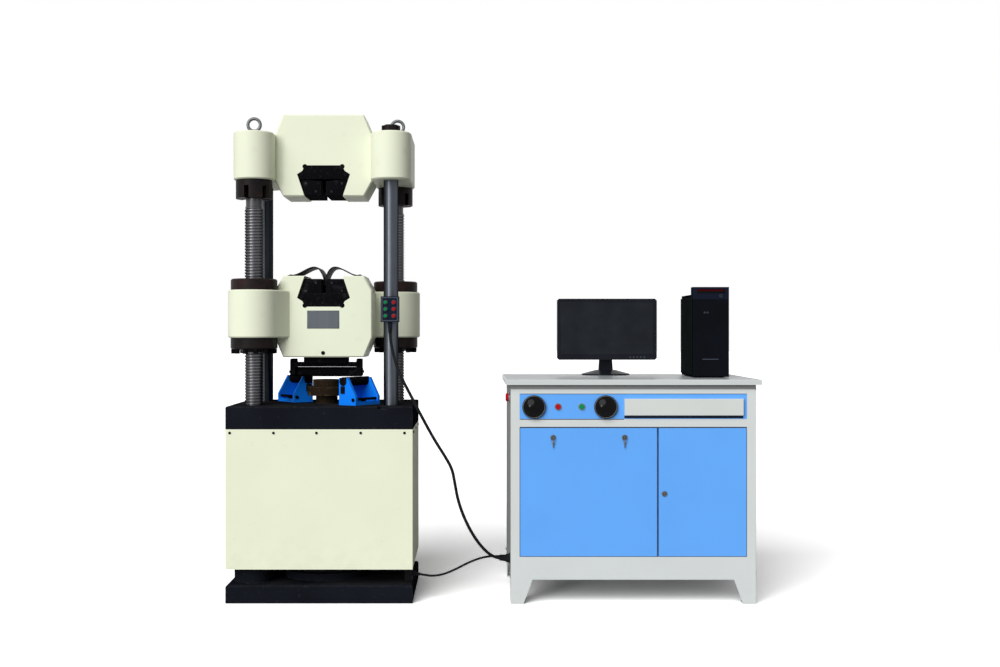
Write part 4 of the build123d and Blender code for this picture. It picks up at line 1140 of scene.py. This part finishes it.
for radius in (0.012, 0.02, 0.028, 0.036):
    section = [(radius, 0), (radius + 0.002, 0), (radius + 0.002, 0.0015), (radius, 0.0015)]
    case_fittings.append(place_piece(ring("grille", section, 36), (1.612, 0.2008, 1.135), (-90, 0, 0)))
for count in range(4):
    z = slot_start + slot_pitch * count
    case_fittings.append(boxed("slot_cover", (1.525, case_back, z), (1.625, 0.2018, z + 0.011), 0.0005))
hand_over("case_fittings", case_fittings, slate_plastic, "base")
red_strip = boxed("strip", (mouth_left, -0.0962, 1.2396), (mouth_right, mouth_back, 1.2472), 0.0006)
sink_face(red_strip, (0, -1, 0), 0.0008, 0.0003)
dark_red = moulded("dark_red_plastic", (0.055, 0.0014, 0.0035), 0.35, 600)
hand_over("drive_strip", [red_strip], dark_red, "base")

# Hand control's cable: black rubber, 12 mm thick, from the pendant's gland down to the cabinet.
# It hangs from the gland, leans over the table's edge and rises a little into the cabinet's side.
cable_black = rubber("cable_rubber", (0.008, 0.009, 0.010), (0.025, 0.027, 0.03))


def cable_tube(name, route, diameter):
    """Tube along a smooth spline through the route's control points, and the points it follows."""
    line = bpy.data.curves.new(name, "CURVE")
    line.dimensions = "3D"
    line.resolution_u = 12
    spline = line.splines.new("NURBS")
    spline.points.add(len(route) - 1)
    for point, place in zip(spline.points, route):
        point.co = (*place, 1)
    spline.order_u = 3
    spline.use_endpoint_u = True
    drawn = bpy.data.objects.new(name, line)
    bpy.context.scene.collection.objects.link(drawn)
    bpy.context.view_layer.update()
    thread = bpy.data.meshes.new_from_object(drawn)
    path = [tuple(corner.co) for corner in thread.vertices]
    bpy.data.meshes.remove(thread)
    line.bevel_depth = diameter / 2
    line.bevel_resolution = 5
    line.use_fill_caps = True
    pick(drawn)
    bpy.ops.object.convert(target="MESH")
    tube = bpy.context.object
    tube.name = name
    return coat(tube, cable_black), path


pendant_route = [
    (0.277, -0.1945, 1.0925), (0.277, -0.1945, 1.056), (0.286, -0.219, 1.010), (0.301, -0.258, 0.960),
    (0.323, -0.284, 0.903), (0.362, -0.292, 0.830), (0.412, -0.292, 0.733), (0.460, -0.290, 0.646),
    (0.504, -0.290, 0.578), (0.528, -0.288, 0.533), (0.537, -0.287, 0.484), (0.550, -0.286, 0.412),
    (0.575, -0.282, 0.340), (0.613, -0.274, 0.266), (0.658, -0.258, 0.207), (0.701, -0.244, 0.176),
    (0.753, -0.240, 0.171),
]
pendant_tube, pendant_path = cable_tube("pendant_cable_tube", pendant_route, 0.012)
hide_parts("pendant_cable")
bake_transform(pendant_tube)

# Thin cable from the base's outlet to the cabinet: black rubber, 9 mm thick, for the limit switches.
# It hangs in a slack curve above the floor and ends in a gland on the cabinet's side.
base_route = [
    (0.370, -0.150, 0.098), (0.404, -0.157, 0.095), (0.441, -0.172, 0.092), (0.483, -0.191, 0.100),
    (0.530, -0.207, 0.121), (0.572, -0.217, 0.145), (0.613, -0.222, 0.165), (0.655, -0.221, 0.178),
    (0.698, -0.213, 0.180), (0.753, -0.208, 0.177),
]
base_tube, base_path = cable_tube("base_cable_tube", base_route, 0.009)
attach(base_tube, "base")
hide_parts("base_cable")
dress(cable_black, "cable_glands")

# Strain reliefs: ribbed rubber sleeves, tapered, where the cables leave the hand control,
# the base's outlet and the cabinet's glands.
relief_profile = [(1.0, 0.0), (1.0, 0.003)]
for rib in range(6):
    height = 0.004 + rib * 0.0037
    girth = 0.97 - 0.022 * rib
    groove = 0.9 * girth
    relief_profile += [(groove, height), (groove, height + 0.0012)]
    relief_profile += [(girth, height + 0.0016), (girth, height + 0.0032)]
reliefs = (
    ("pendant_relief", "moving_frame", 0.0088, (0.277, -0.1945, 1.0935), (180, 0, 0)),
    ("pendant_cable_relief", "base", 0.0088, (0.741, -0.2409, 0.1721), (0, -84.5, 4.4)),
    ("base_cable_relief", "base", 0.0078, (0.741, -0.2092, 0.1776), (0, -86.5, 5.0)),
    ("base_outlet_relief", "base", 0.0078, (0.369, -0.1498, 0.0981), (0, 95, -11)),
)
for name, body, radius, place, turn in reliefs:
    relief = turned("relief", [(radius * girth, height) for girth, height in relief_profile], 24)
    hand_over(name, [place_piece(relief, place, turn)], cable_black, body)

# Studio: a wide pale floor, a white surround, a soft sun from the front left
# and a low lamp that draws the bright line along the steel. The camera stands level
# at the photograph's height and distance, shifted a little to frame it.
floor_lit = (0.3, 0.3, 0.3)
floor_mirrored = (1.4, 1.4, 1.4)
floor_seen = (1.9, 1.9, 1.9)
surround_light = 0.2


def seen_by(tree, *rays):
    """1 for rays of these kinds, 0 for all others."""
    path = tree.nodes.new("ShaderNodeLightPath")
    return sum(Shade(tree, path.outputs[ray]) for ray in rays).between(0, 1)


def add_sun(name, energy, spread, tilt, turn):
    """A sun lamp, tilted up from straight down and turned about the vertical, in degrees."""
    lamp = bpy.data.lights.new(name, "SUN")
    lamp.energy = energy
    lamp.angle = math.radians(spread)
    stand = bpy.data.objects.new(name, lamp)
    bpy.context.scene.collection.objects.link(stand)
    stand.rotation_euler = (math.radians(tilt), 0, math.radians(turn))


bpy.ops.object.select_all(action="DESELECT")
bpy.ops.mesh.primitive_circle_add(vertices=96, radius=60, fill_type="NGON", location=(0.7, 0, -0.0005))
floor = bpy.context.object
floor.name = "floor"
pale = bpy.data.materials.new("pale_floor")
pale.use_nodes = True
tree = pale.node_tree
for old in list(tree.nodes):
    tree.nodes.remove(old)
tone = seen_by(tree, "Is Glossy Ray").colour(floor_lit, floor_mirrored)
tone = seen_by(tree, "Is Camera Ray", "Is Transmission Ray").colour(tone, floor_seen)
matt = tone.node("ShaderNodeBsdfDiffuse", {}, {"Color": tone})
feed(tree.nodes.new("ShaderNodeOutputMaterial"), {"Surface": matt})
coat(floor, pale)

surround = bpy.data.worlds.new("white_surround")
bpy.context.scene.world = surround
surround.use_nodes = True
seen = seen_by(surround.node_tree, "Is Camera Ray", "Is Glossy Ray", "Is Transmission Ray")
strength = surround_light + seen * (1 - surround_light)
feed(surround.node_tree.nodes["Background"], {"Color": (1, 1, 1, 1), "Strength": strength})

add_sun("soft_sun", energy=2.66, spread=50, tilt=56, turn=-27)
add_sun("low_strip", energy=0.65, spread=14, tilt=84, turn=-32)

camera_data = bpy.data.cameras.new("camera")
camera_data.sensor_width = 36
camera_data.lens = 43.45
camera_data.shift_x = 0.025
camera_data.shift_y = -0.0025
camera = bpy.data.objects.new("camera", camera_data)
bpy.context.scene.collection.objects.link(camera)
camera.location = (0.617, -5.026, 1.077)
camera.rotation_euler = (math.radians(90), 0, 0)
bpy.context.scene.camera = camera
bpy.context.scene.view_settings.view_transform = "Standard"
